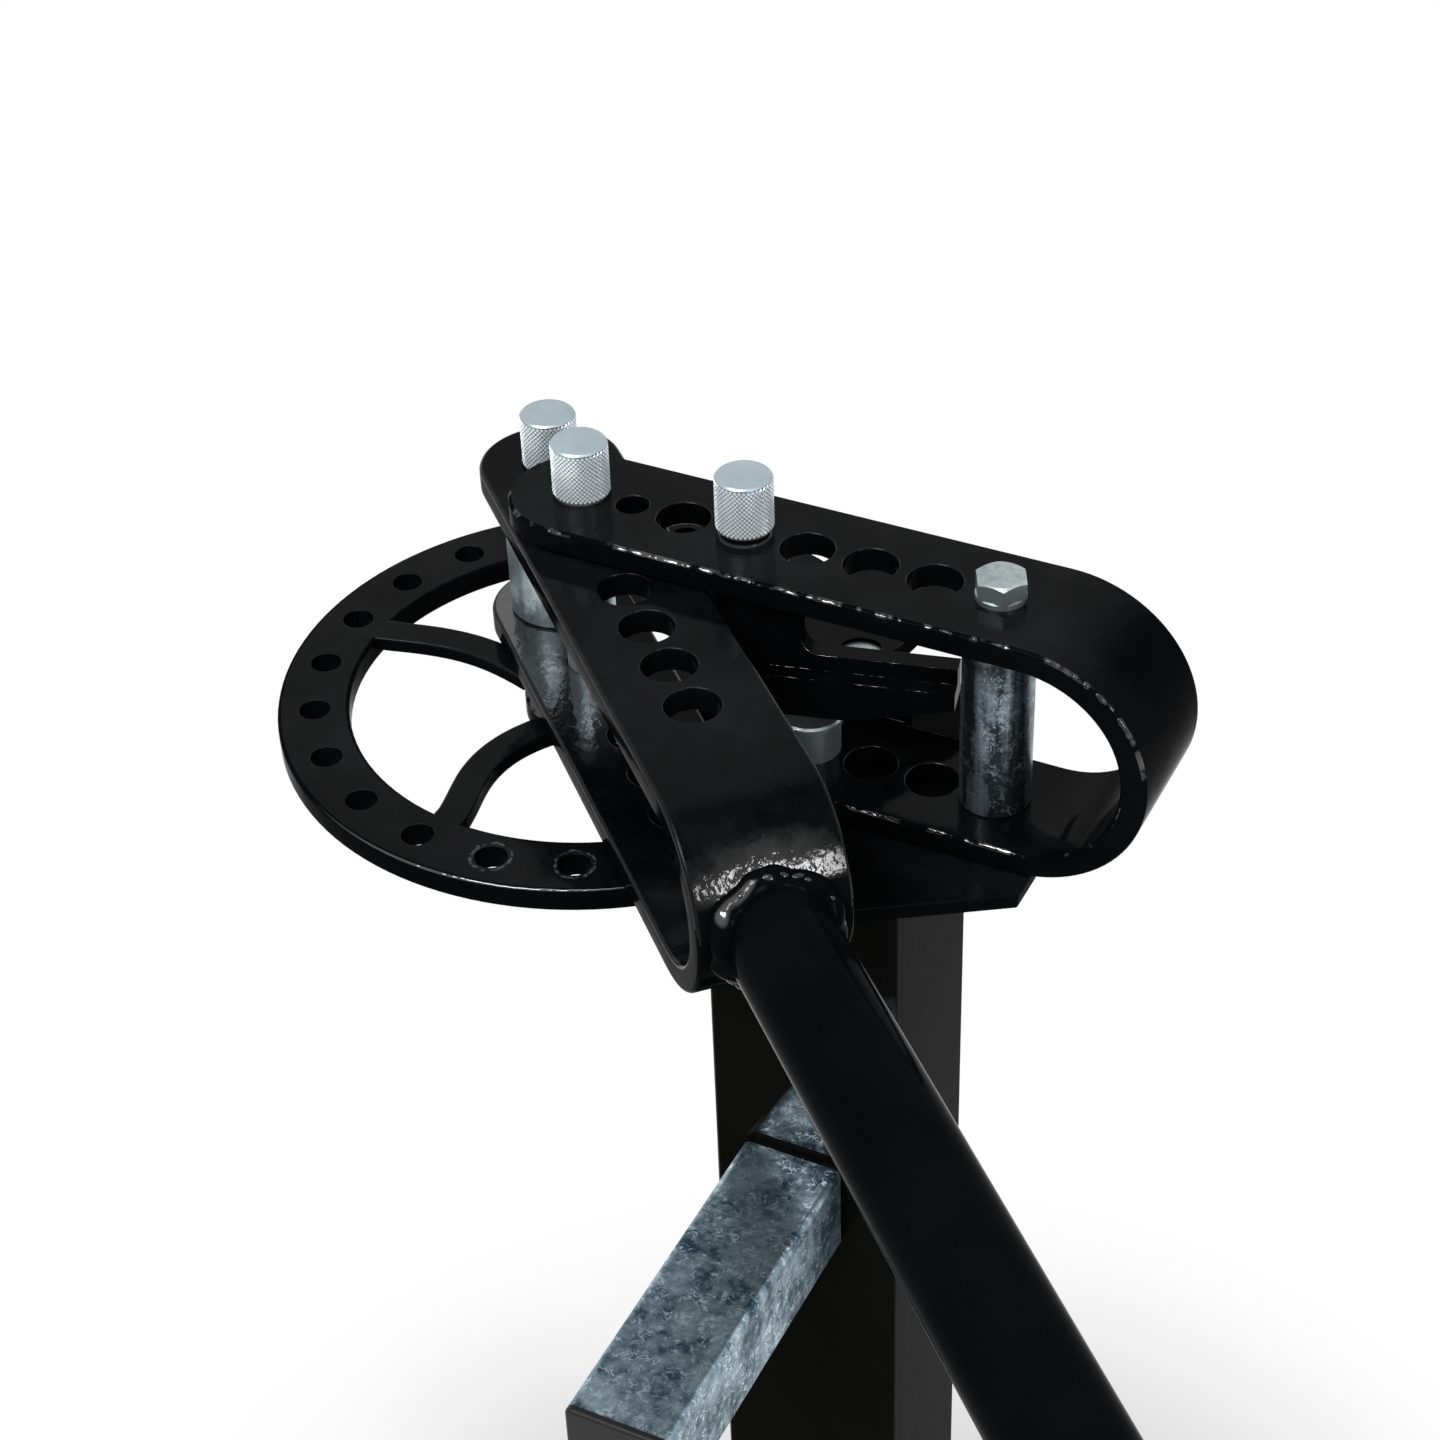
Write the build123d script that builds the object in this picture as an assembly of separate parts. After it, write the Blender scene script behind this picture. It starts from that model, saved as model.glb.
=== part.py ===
from build123d import *
import math
import os

os.makedirs("parts", exist_ok=True)

# Driving sizes, all in millimetres; the swing pivot stands on x = 0, y = 0 and the floor is z = 0
TOP = 1000.0
BAR_W = 70.0
BAR_T = 12.7
HOLE_D = 25.4
HOLE_PITCH = 31.75
FIRST_HOLE = 54.0
SMALL_D = 15.5
FRAME_H = 127.0
FRAME_BEND_X = 234.0
SWING_GAP_TOP = 2.3
SWING_GAP_LOW = 3.3
SWING_BEND_S = 213.5
SWING_ANGLE = -44.0
SWING_HOLES = 5
ROLLER_ARM = 54.0
RING_OUT = 156.4
RING_IN = 121.2
RING_LIFT = 1.0
RING_PITCH = 138.0
RING_STEPS = 22
SPOKE_W = 16.0
SPOKE_T = 8.0
PIN_D = 25.3
HEAD_D = 27.5
HEAD_H = 28.0
PIN_LIFT_C = 3.5
ROLLER_D = 50.0
ROLLER_BORE = 25.4
POST_X = 130.5
POST_W = 105.0
POST_D = 82.0
POST_WALL = 4.0
POST_ROUND = 2.5
PLATE_T = 8.0
PLATE_L = 227.0
PLATE_W = 184.0
FRONT_CUT_X = 70.0
FRONT_CUT_Y = 44.5
BACK_CUT_X = 80.0
BACK_CUT_Y = 87.0
BASE_W = 400.0
BASE_T = 12.0
ANCHOR_SPAN = 320.0
ANCHOR_D = 14.0
PILLAR_D = 34.0
STUB_D = 29.5
STUB_H = 22.3
STUB_HEAD_D = 34.0
STUB_HEAD_T = 3.0
NOSE_R = 20.0
NOSE_GAP = 1.3
COLLAR_D = 29.0
SHOE_RISE = 32.3
RAIL_X = 118.0
RAIL_Y = -20.0
RAIL_LEN = 76.5
RAIL_TURN = 13.7
RAIL_H = 22.0
LEDGE = 8.0
WEB_T = 9.5
WEB_H = 8.5
WEB_TALL = 3.0
WEB_ROUND = 9.0
UNDERCUT = 13.0
UNDERCUT_START = 23.0
EAR_T = 10.0
EAR_DROP = 8.0
EAR_X = 141.0
EAR_Y = 100.0
EAR_SPREAD = 24.0
EAR_LEAN = 11.0
PLUG_D = 22.0
PLUG_X = 134.0
PLUG_Y = 22.0
PLUG_SINK = 2.0
PLUG_PAST = 4.0
BOLT_D = 14.0
BOLT_HOLE = 15.0
BOLT_AF = 22.0
BOLT_TURN = 56.7
HEAD_T = 9.0
NUT_T = 11.0
WASHER_D = 23.5
WASHER_T = 2.5
THREAD_PAST = 5.0
THRUST_D = 52.0
RUN_GAP = 0.3
SIDE_GAP = 0.4
ARM_X = 124.5
ARM_W = 55.0
ARM_WALL = 3.0
ARM_LEN = 190.0
ARM_TOP = 652.0
ARM_GAP = 4.0
HANDLE_D = 48.3
HANDLE_WALL = 4.0
HANDLE_LEN = 700.0
GRIP_LEN = 150.0
GRIP_WALL = 3.0
EDGE = 1.0

# Heights that follow from the sizes above
LOW_TOP = TOP - FRAME_H + BAR_T
LOW_BOTTOM = TOP - FRAME_H
PLATE_BOTTOM = LOW_BOTTOM - PLATE_T
SWING_H = FRAME_H - 2 * BAR_T - SWING_GAP_TOP - SWING_GAP_LOW
SWING_TOP = TOP - BAR_T - SWING_GAP_TOP
SWING_BOTTOM = SWING_TOP - SWING_H
SWING_MID = SWING_TOP - SWING_H / 2
PIN_C_X = FIRST_HOLE + HOLE_PITCH
STUB_X = FIRST_HOLE + 2 * HOLE_PITCH
BOLT_X = FIRST_HOLE + 5 * HOLE_PITCH
SWING_TURN = Rotation(0, 0, SWING_ANGLE)


def save(shape, name):
    export_step(shape, "parts/" + name + ".step")


def upright(diameter, z_low, z_high, x=0.0, y=0.0):
    body = Cylinder(diameter / 2, z_high - z_low, align=(Align.CENTER, Align.CENTER, Align.MIN))
    return Pos(x, y, z_low) * body


def block(x0, x1, y0, y1, z0, z1):
    body = Box(x1 - x0, y1 - y0, z1 - z0, align=(Align.MIN, Align.MIN, Align.MIN))
    return Pos(x0, y0, z0) * body


def hairpin(end_x, bend_x, z_top, height):
    """Flat bar bent into a U lying on its side, both free ends rounded."""
    outer = height / 2
    inner = outer - BAR_T
    mid = z_top - outer
    loop = Plane.XZ * (Pos(bend_x, mid) * (Circle(outer) - Circle(inner)))
    ring = extrude(loop, BAR_W / 2, both=True)
    ring = ring & block(bend_x, bend_x + height, -BAR_W, BAR_W, mid - height, mid + height)
    arms = block(end_x, bend_x, -BAR_W / 2, BAR_W / 2, z_top - BAR_T, z_top)
    arms += block(end_x, bend_x, -BAR_W / 2, BAR_W / 2, z_top - height, z_top - height + BAR_T)
    arms += upright(BAR_W, z_top - BAR_T, z_top, end_x)
    arms += upright(BAR_W, z_top - height, z_top - height + BAR_T, end_x)
    return arms + ring


def ribbon(points, width):
    """Curved strip outline that follows a line of points."""
    left = []
    right = []
    last = len(points) - 1
    for i, (x, y) in enumerate(points):
        ax, ay = points[max(i - 1, 0)]
        bx, by = points[min(i + 1, last)]
        length = math.hypot(bx - ax, by - ay)
        nx = -(by - ay) / length * width / 2
        ny = (bx - ax) / length * width / 2
        left.append((x + nx, y + ny))
        right.append((x - nx, y - ny))
    edges = [Spline(*left), Line(left[-1], right[-1]), Spline(*right), Line(right[0], left[0])]
    return make_face(Wire(edges))


# Floor base plate with four anchor holes
base = block(POST_X - BASE_W / 2, POST_X + BASE_W / 2, -BASE_W / 2, BASE_W / 2, 0, BASE_T)
base = fillet(base.edges().filter_by(Axis.Z), 25)
for sx in (-1, 1):
    for sy in (-1, 1):
        base -= upright(ANCHOR_D, -1, BASE_T + 1, POST_X + sx * ANCHOR_SPAN / 2, sy * ANCHOR_SPAN / 2)
base = chamfer(base.edges().group_by(Axis.Z)[-1], EDGE)
save(base, "base_plate")

# Four ribs between the post and the base plate
RIB_RUN = 95.0
RIB_RISE = 140.0
RIB_T = 8.0
rib_face = Plane.XZ * Polygon((0, 0), (RIB_RUN, 0), (RIB_RUN, 12), (12, RIB_RISE), (0, RIB_RISE), align=None)
rib = extrude(rib_face, RIB_T / 2, both=True)
ribs = []
for turn, reach in ((0, POST_W / 2), (90, POST_D / 2), (180, POST_W / 2), (270, POST_D / 2)):
    ribs.append(Pos(POST_X, 0, BASE_T) * Rotation(0, 0, turn) * Pos(reach, 0, 0) * rib)
save(Compound(ribs), "base_ribs")

# Rectangular tube post with rounded corners
post_face = RectangleRounded(POST_W, POST_D, POST_ROUND) - RectangleRounded(
    POST_W - 2 * POST_WALL, POST_D - 2 * POST_WALL, POST_ROUND / 2)
post = Pos(POST_X, 0, BASE_T) * extrude(post_face, PLATE_BOTTOM - BASE_T)
save(post, "post")

# Top plate with long cut corners, cut back further on the far side
half_l = PLATE_L / 2
half_w = PLATE_W / 2
outline = []
for side in (1, -1):
    ends = [(half_l - FRONT_CUT_X, -half_w), (half_l, FRONT_CUT_Y - half_w),
            (half_l, half_w - BACK_CUT_Y), (half_l - BACK_CUT_X, half_w)]
    outline += [(side * x, y) for x, y in ends[::side]]
plate = Pos(POST_X, 0, PLATE_BOTTOM) * extrude(Polygon(*outline, align=None), PLATE_T)
plate -= upright(BOLT_HOLE, PLATE_BOTTOM - 1, LOW_BOTTOM + 1, BOLT_X)
plate = chamfer(plate.edges().filter_by(GeomType.LINE), 0.8)
save(plate, "top_plate")

# Fixed frame: hairpin with a row of pin bores through both arms
frame = hairpin(0.0, FRAME_BEND_X, TOP, FRAME_H)
for x in [0.0] + [FIRST_HOLE + k * HOLE_PITCH for k in range(5)]:
    frame -= upright(HOLE_D, LOW_BOTTOM - 1, TOP + 1, x)
frame -= upright(SMALL_D, LOW_BOTTOM - 1, TOP + 1, FIRST_HOLE / 2)
frame -= upright(BOLT_HOLE, LOW_BOTTOM - 1, TOP + 1, BOLT_X)
save(frame, "main_frame")

# Angle ring round the lower arm, and the thinner curved spokes welded flush with its top
ring = Circle(RING_OUT) - Circle(RING_IN)
arm_outline = Circle(BAR_W / 2) + Pos(RING_OUT, 0) * Rectangle(2 * RING_OUT, BAR_W)
spoke_front = [(-12.5, -122), (-16, -101), (-18.8, -87), (-19.4, -75), (-17.5, -62), (-11, -46), (-2, -33)]
spoke_left = [(-122, -3), (-101, 2.5), (-84, 5), (-68, 5), (-50, 2), (-33, -3)]
spoke_back = [(x, -y) for x, y in spoke_front]
ring -= arm_outline
for k in range(RING_STEPS):
    a = math.radians(180 + 360 * k / RING_STEPS)
    x = RING_PITCH * math.cos(a)
    y = RING_PITCH * math.sin(a)
    if x < 0 or abs(y) > BAR_W / 2 + SMALL_D / 2 + 2:
        ring -= Pos(x, y) * Circle(SMALL_D / 2)
ring_body = Pos(0, 0, LOW_BOTTOM + RING_LIFT) * extrude(ring, BAR_T)
save(ring_body, "angle_ring")
spoke_place = Pos(0, 0, LOW_BOTTOM + RING_LIFT + BAR_T - SPOKE_T)
spokes = []
for points in (spoke_front, spoke_left, spoke_back):
    spoke = (ribbon(points, SPOKE_W) & Circle(RING_IN)) - arm_outline
    spokes.append(spoke_place * extrude(spoke, SPOKE_T))
save(Compound([solid for spoke in spokes for solid in spoke.solids()]), "ring_spokes")

# Spacer pillar, bolt, washers and nut that tie the two arms of the frame
pillar = upright(PILLAR_D, LOW_TOP, TOP - BAR_T, BOLT_X) - upright(BOLT_HOLE, LOW_TOP - 1, TOP, BOLT_X)
pillar = chamfer(pillar.edges().filter_by(GeomType.CIRCLE), EDGE)
save(pillar, "frame_spacer")
bolt = upright(BOLT_D, PLATE_BOTTOM - WASHER_T - NUT_T - THREAD_PAST, TOP + WASHER_T + 1, BOLT_X)
hexagon = RegularPolygon(BOLT_AF / math.sqrt(3), 6, rotation=BOLT_TURN)
flat_r = 0.95 * BOLT_AF / 2
head_place = Pos(BOLT_X, 0, TOP + WASHER_T)
head = head_place * extrude(hexagon, HEAD_T)
head &= head_place * Cone(flat_r + HEAD_T * math.sqrt(3), flat_r, HEAD_T, align=(Align.CENTER, Align.CENTER, Align.MIN))
save(bolt + head, "frame_bolt")
washer = upright(WASHER_D, 0, WASHER_T) - upright(BOLT_HOLE, -1, WASHER_T + 1)
save(Compound([Pos(BOLT_X, 0, TOP) * washer, Pos(BOLT_X, 0, PLATE_BOTTOM - WASHER_T) * washer]), "bolt_washers")
nut = extrude(hexagon, NUT_T) - upright(BOLT_D, -1, NUT_T + 1)
save(Pos(BOLT_X, 0, PLATE_BOTTOM - WASHER_T - NUT_T) * nut, "frame_nut")

# Thrust washers on the pivot above and below the swing arms
low_ring = upright(THRUST_D, LOW_TOP, SWING_BOTTOM - RUN_GAP) - upright(HOLE_D + 1, LOW_TOP - 1, SWING_BOTTOM)
top_ring = upright(THRUST_D, SWING_TOP + RUN_GAP, TOP - BAR_T) - upright(HOLE_D + 1, SWING_TOP, TOP)
save(Compound([low_ring, top_ring]), "thrust_washers")

# Former shoe: tall nose on the fixed pin, stepped rail with a slanted underside, and a long ear behind it
SHOE_LOW = LOW_TOP + SHOE_RISE
RAIL_TOP = SHOE_LOW + RAIL_H
EAR_TOP = RAIL_TOP - EAR_DROP
NOSE_TOP = TOP - BAR_T - NOSE_GAP
rail_place = Pos(RAIL_X, RAIL_Y, 0) * Rotation(0, 0, RAIL_TURN)
rail = rail_place * block(-NOSE_R, RAIL_LEN, 0, LEDGE + WEB_T, SHOE_LOW, RAIL_TOP)
web_face = Plane.XZ * Polygon(
    (-NOSE_R, RAIL_TOP - 1), (RAIL_LEN, RAIL_TOP - 1), (RAIL_LEN, RAIL_TOP + WEB_H),
    (WEB_TALL, RAIL_TOP + WEB_H), (WEB_TALL, NOSE_TOP), (-NOSE_R, NOSE_TOP), align=None)
web = rail_place * Pos(0, LEDGE + WEB_T / 2, 0) * extrude(web_face, WEB_T / 2, both=True)
web_corner = rail_place * Pos(WEB_TALL, LEDGE + WEB_T / 2, RAIL_TOP + WEB_H)
web = fillet(web.edges().sort_by_distance(web_corner.position)[0], WEB_ROUND)
nose = upright(2 * NOSE_R, SHOE_LOW, NOSE_TOP, PIN_C_X) + upright(COLLAR_D, LOW_TOP, SHOE_LOW + 1, PIN_C_X)
ear_face = Polygon((PIN_C_X, 0), (EAR_X, 0), (EAR_X + EAR_SPREAD, EAR_Y), (PIN_C_X + EAR_LEAN, EAR_Y), align=None)
ear = Pos(0, 0, EAR_TOP - EAR_T) * extrude(ear_face, EAR_T)
wedge = Plane.XZ * Polygon((UNDERCUT_START, SHOE_LOW - 1), (RAIL_LEN + 1, SHOE_LOW - 1),
                           (RAIL_LEN + 1, SHOE_LOW + UNDERCUT), align=None)
shoe = nose + rail + web + ear - rail_place * extrude(wedge, RAIL_LEN, both=True)
shoe -= upright(PLUG_D, SHOE_LOW - 1, RAIL_TOP, PLUG_X, PLUG_Y)
shoe -= upright(HOLE_D, LOW_TOP - 1, NOSE_TOP + 1, PIN_C_X)
save(shoe, "former_shoe")
save(upright(PLUG_D, EAR_TOP - EAR_T - PLUG_PAST, EAR_TOP - PLUG_SINK, PLUG_X, PLUG_Y), "shoe_plug")

# Headed stub pin that stands in a bore of the lower arm
stub_top = LOW_TOP + STUB_H
stub = upright(STUB_D, LOW_TOP, stub_top, STUB_X) + upright(STUB_HEAD_D, stub_top - STUB_HEAD_T, stub_top, STUB_X)
stub = chamfer(stub.edges().group_by(Axis.Z)[-1], EDGE)
stub += upright(PIN_D, LOW_BOTTOM + 1, LOW_TOP + 1, STUB_X)
save(stub, "stub_pin")

# Square rest arm on the front of the post
arm_mid = ARM_TOP - ARM_W / 2
arm_front = -POST_D / 2 - ARM_GAP
arm_face = RectangleRounded(ARM_W, ARM_W, 4) - RectangleRounded(ARM_W - 2 * ARM_WALL, ARM_W - 2 * ARM_WALL, 1.5)
arm_place = Pos(ARM_X, 0, arm_mid) * Rotation(90, 0, 0)
arm = arm_place * Pos(0, 0, -arm_front) * extrude(arm_face, ARM_LEN)
save(arm, "rest_arm")
flange_face = RectangleRounded(ARM_W - 1, ARM_W - 1, 4)
flange = arm_place * Pos(0, 0, POST_D / 2) * extrude(flange_face, ARM_GAP)
save(flange, "arm_foot")
plug = extrude(RectangleRounded(ARM_W, ARM_W, 4), 4)
plug = fillet(plug.edges().group_by(Axis.Z)[-1], 2)
plug += Pos(0, 0, -12) * extrude(RectangleRounded(ARM_W - 2 * ARM_WALL - 0.2, ARM_W - 2 * ARM_WALL - 0.2, 1.5), 12)
save(arm_place * Pos(0, 0, -arm_front + ARM_LEN) * plug, "arm_plug")

# Swing frame: the second hairpin, carrying the roller at its short end
swing = hairpin(-ROLLER_ARM, SWING_BEND_S, SWING_TOP, SWING_H)
for s in [-ROLLER_ARM, 0.0] + [k * HOLE_PITCH for k in range(1, SWING_HOLES + 1)]:
    if s != HOLE_PITCH:
        swing -= upright(HOLE_D, SWING_BOTTOM - 1, SWING_TOP + 1, s)
save(SWING_TURN * swing, "swing_frame")

# Handle pipe, its weld to the swing bend, and the rubber grip
handle_s = SWING_BEND_S + SWING_H / 2
along = Pos(handle_s - 8, 0, SWING_MID) * Rotation(0, 90, 0)
pipe_face = Circle(HANDLE_D / 2) - Circle(HANDLE_D / 2 - HANDLE_WALL)
pipe = along * extrude(pipe_face, HANDLE_LEN + 8)
bend_core = Plane.XZ * (Pos(SWING_BEND_S, SWING_MID) * Circle(SWING_H / 2))
bend_core = extrude(bend_core, BAR_W, both=True)
pipe -= bend_core
save(SWING_TURN * pipe, "handle_pipe")
bead = Pos(handle_s, 0, SWING_MID) * Rotation(0, 90, 0) * Cone(
    HANDLE_D / 2 + 6, HANDLE_D / 2, 12, align=(Align.CENTER, Align.CENTER, Align.CENTER))
bead -= bend_core
bead -= along * extrude(Circle(HANDLE_D / 2), 60)
save(SWING_TURN * bead, "handle_weld")
grip_s = handle_s + HANDLE_LEN - GRIP_LEN
grip = Pos(grip_s, 0, SWING_MID) * Rotation(0, 90, 0) * extrude(Circle(HANDLE_D / 2 + GRIP_WALL), GRIP_LEN + 4)
grip = fillet(grip.edges().filter_by(GeomType.CIRCLE), 2.5)
grip -= Pos(grip_s - 1, 0, SWING_MID) * Rotation(0, 90, 0) * extrude(Circle(HANDLE_D / 2), GRIP_LEN + 1)
save(SWING_TURN * grip, "handle_grip")

# Bending roller between the swing arms
roller_low = SWING_BOTTOM + BAR_T + SIDE_GAP
roller_high = SWING_TOP - BAR_T - SIDE_GAP
roller = upright(ROLLER_D, roller_low, roller_high) - upright(ROLLER_BORE, roller_low - 1, roller_high + 1)
roller = chamfer(roller.edges().filter_by(GeomType.CIRCLE), EDGE)
save(SWING_TURN * Pos(-ROLLER_ARM, 0, 0) * roller, "bending_roller")


# Loose pins with knurled heads
def head_pin(seat, tip, lift=0.0):
    low = seat + lift
    top = upright(HEAD_D, low, low + HEAD_H)
    top = chamfer(top.edges().filter_by(GeomType.CIRCLE), EDGE)
    shaft = upright(PIN_D, tip, low + 1)
    shaft = chamfer(shaft.edges().group_by(Axis.Z)[0], 2)
    body = top + shaft
    if lift > 0:
        body += upright(HEAD_D - 1, seat, low)
    return body


save(head_pin(TOP, LOW_BOTTOM - 4), "pivot_pin")
save(Pos(PIN_C_X, 0, 0) * head_pin(TOP, LOW_BOTTOM + 1, PIN_LIFT_C), "fixed_pin")
save(SWING_TURN * Pos(-ROLLER_ARM, 0, 0) * head_pin(SWING_TOP, LOW_TOP + 2), "roller_pin")
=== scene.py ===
import math
import random

import bmesh
import bpy
from mathutils import Matrix, Vector, noise


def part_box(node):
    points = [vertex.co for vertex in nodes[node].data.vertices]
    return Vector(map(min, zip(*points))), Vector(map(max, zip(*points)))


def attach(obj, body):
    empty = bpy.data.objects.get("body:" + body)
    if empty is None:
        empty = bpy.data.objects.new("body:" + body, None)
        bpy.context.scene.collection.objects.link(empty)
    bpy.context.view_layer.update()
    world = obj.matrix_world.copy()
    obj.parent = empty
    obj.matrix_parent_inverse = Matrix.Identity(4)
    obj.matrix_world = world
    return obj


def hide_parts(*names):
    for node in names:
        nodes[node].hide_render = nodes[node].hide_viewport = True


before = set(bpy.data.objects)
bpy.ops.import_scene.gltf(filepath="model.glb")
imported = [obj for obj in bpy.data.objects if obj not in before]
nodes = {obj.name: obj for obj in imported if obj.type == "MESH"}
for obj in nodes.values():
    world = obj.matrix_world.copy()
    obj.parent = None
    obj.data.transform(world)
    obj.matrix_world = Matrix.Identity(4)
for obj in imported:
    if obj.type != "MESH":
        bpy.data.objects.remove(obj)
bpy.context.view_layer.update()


def node_centre(name):
    low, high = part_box(name)
    return (low + high) / 2


# Places read from the frame, in metres
FRAME_LOW, FRAME_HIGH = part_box("main_frame")
TOP = FRAME_HIGH.z
LOW_BOTTOM = FRAME_LOW.z
PLATE_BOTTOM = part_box("top_plate")[0].z
BASE_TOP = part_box("base_plate")[1].z
POST_LOW, POST_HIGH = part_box("post")
POST_X = (POST_LOW.x + POST_HIGH.x) / 2
POST_Y = (POST_LOW.y + POST_HIGH.y) / 2
SWING_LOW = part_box("swing_frame")[0].z
SWING_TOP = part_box("swing_frame")[1].z
SWING_MID = (SWING_LOW + SWING_TOP) / 2
RING_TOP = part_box("angle_ring")[1].z
ARM_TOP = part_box("rest_arm")[1].z
ARM_X = node_centre("rest_arm").x
ROLLER_MIDDLE = node_centre("bending_roller")

# Sizes of the lever and the ring, as the solids have them
SWING_ANGLE = math.radians(-44.0)
SWING_BEND = 0.2135
BEND_R = (SWING_TOP - SWING_LOW) / 2
PIPE_R = 0.02415
PIPE_LENGTH = 0.7
LEVER_TURN = Matrix.Rotation(SWING_ANGLE, 4, "Z")
LEVER_SIDE = LEVER_TURN @ Vector((0.0, 1.0, 0.0))
RING_PITCH = 0.138
RING_STEP = 2 * math.pi / 22

# Camera fitted to the bores, the ring and the bar edges of the photograph
IMAGE_PX = 1440.0
FOCAL_PX = 2933.0
AXIS_PX = (770.3, 703.3)
YAW = -0.46557
PITCH = 0.64403
ROLL = 0.02665
PIVOT_FROM_CAMERA = (-0.088843, 0.099882, 1.382374)
SENSOR_MM = 36.0
CLIP_NEAR = 0.05
CLIP_FAR = 60.0

# Rolled and bevelled edges: angles in degrees, shares of a width
SHARP = 40.0
SHOE_SHARP = 25.0
SAME_PLANE = 0.5
SAME_POINT = 1e-6
ROLL_STEPS = 3
BEVEL_PROFILE = 0.25
HOLE_SPAN = 0.05
HOLE_SHARE = 0.45
RING_HOLE_SHARE = 0.15
LEAST_SHARE = 0.3
LIT_EDGE = 0.1
FLAT_WEIGHT = 80


# Mesh helpers

def new_piece(name, mesh, body, slot, *materials):
    """Turns a bmesh into a smooth-shaded object that rides on a body."""
    data = bpy.data.meshes.new(name)
    bmesh.ops.recalc_face_normals(mesh, faces=mesh.faces)
    mesh.to_mesh(data)
    mesh.free()
    data.shade_smooth()
    piece = bpy.data.objects.new(name, data)
    bpy.context.scene.collection.objects.link(piece)
    for material in materials:
        data.materials.append(material)
    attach(piece, body)
    return piece


def keep_flats_flat(piece):
    weighted = piece.modifiers.new("flat faces", "WEIGHTED_NORMAL")
    weighted.mode = "FACE_AREA"
    weighted.weight = FLAT_WEIGHT
    weighted.keep_sharp = True


def split_corners(piece, name, degrees):
    """Shades a piece crisp across corners of more than the given angle."""
    crease = piece.modifiers.new(name, "EDGE_SPLIT")
    crease.split_angle = math.radians(degrees)


def welded_copy(source):
    """A bmesh of a solid whose faces share their points."""
    mesh = bmesh.new()
    mesh.from_mesh(source)
    bmesh.ops.remove_doubles(mesh, verts=mesh.verts, dist=SAME_POINT)
    return mesh


def sharp_edges(mesh, corner):
    """Edges between faces that meet at more than the given number of degrees."""
    limit = math.radians(corner)
    return {edge for edge in mesh.edges if len(edge.link_faces) == 2 and edge.calc_face_angle() > limit}


def connected(items, neighbours):
    """The items sorted into groups that hang together through their neighbours."""
    groups = []
    waiting = set(items)
    while waiting:
        group = {waiting.pop()}
        front = list(group)
        while front:
            for other in neighbours(front.pop()):
                if other in waiting:
                    waiting.remove(other)
                    group.add(other)
                    front.append(other)
        groups.append(group)
    return groups


def hole_rims(sharp):
    """The sharp edges that belong to closed rims small enough to be holes."""
    def touching(edge):
        return [other for vert in edge.verts for other in vert.link_edges]

    rims = set()
    for rim in connected(sharp, touching):
        places = [vert.co for edge in rim for vert in edge.verts]
        if max((place - places[0]).length for place in places) < HOLE_SPAN:
            rims |= rim
    return rims


def face_fans(vert, sharp):
    """The faces round a point, sorted into groups that no sharp edge cuts."""
    def beside(face):
        soft = [edge for edge in face.edges if edge not in sharp and vert in edge.verts]
        return [other for edge in soft for other in edge.link_faces]

    return connected(vert.link_faces, beside)


def pulled_back(vert, fan, sharp, widths):
    """Where a point of a fan comes to lie when the fan draws back from its sharp edges."""
    inward = []
    for edge in vert.link_edges:
        if edge not in sharp:
            continue
        for face in edge.link_faces:
            if face in fan:
                along = (edge.other_vert(vert).co - vert.co).normalized()
                across = face.calc_center_median() - vert.co
                inward.append((across - along * across.dot(along)).normalized() * widths[edge])
    if not inward:
        return vert.co.copy()
    if len(inward) == 1:
        return vert.co + inward[0]
    first, second = inward[0], inward[1]
    share = 1.0 + first.normalized().dot(second.normalized())
    return vert.co + (first + second) / max(share, LEAST_SHARE)


def rolled_mesh(source, corner, width, bow, hole_share):
    """A copy of a solid whose sharp edges are rolled over: flat strips at bow 0, round ones at bow 1."""
    mesh = welded_copy(source)
    sharp = sharp_edges(mesh, corner)
    rims = hole_rims(sharp)
    widths = {edge: width * hole_share if edge in rims else width for edge in sharp}
    made = bmesh.new()
    corner_of = {}
    capped = []
    for vert in mesh.verts:
        fans = face_fans(vert, sharp)
        for fan in fans:
            point = made.verts.new(pulled_back(vert, fan, sharp, widths))
            for face in fan:
                corner_of[vert, face] = point
        if len(fans) > 2:
            capped.append(vert)
    for face in mesh.faces:
        made.faces.new([corner_of[vert, face] for vert in face.verts]).material_index = 0
    between = {}

    def strip_row(vert, first, second):
        """Points of a rolled strip from one fan to the other at one end of an edge."""
        start = corner_of[vert, first]
        end = corner_of[vert, second]
        if (start, end) in between:
            return between[start, end]
        pull = ((start.co + end.co) / 2).lerp(vert.co, bow)
        row = [start]
        for step in range(1, ROLL_STEPS):
            t = step / ROLL_STEPS
            curve = start.co * (1 - t) ** 2 + pull * (2 * t * (1 - t)) + end.co * t ** 2
            row.append(made.verts.new(curve))
        row.append(end)
        between[start, end] = row
        between[end, start] = row[::-1]
        return row

    for edge in sharp:
        first, second = edge.link_faces
        here, there = edge.verts
        row_here = strip_row(here, first, second)
        row_there = strip_row(there, first, second)
        for k in range(ROLL_STEPS):
            face = made.faces.new((row_here[k], row_here[k + 1], row_there[k + 1], row_there[k]))
            face.material_index = 2 if edge in rims else 1
    for vert in capped:
        close_corner(made, vert, sharp, strip_row)
    mesh.free()
    return made


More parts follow.
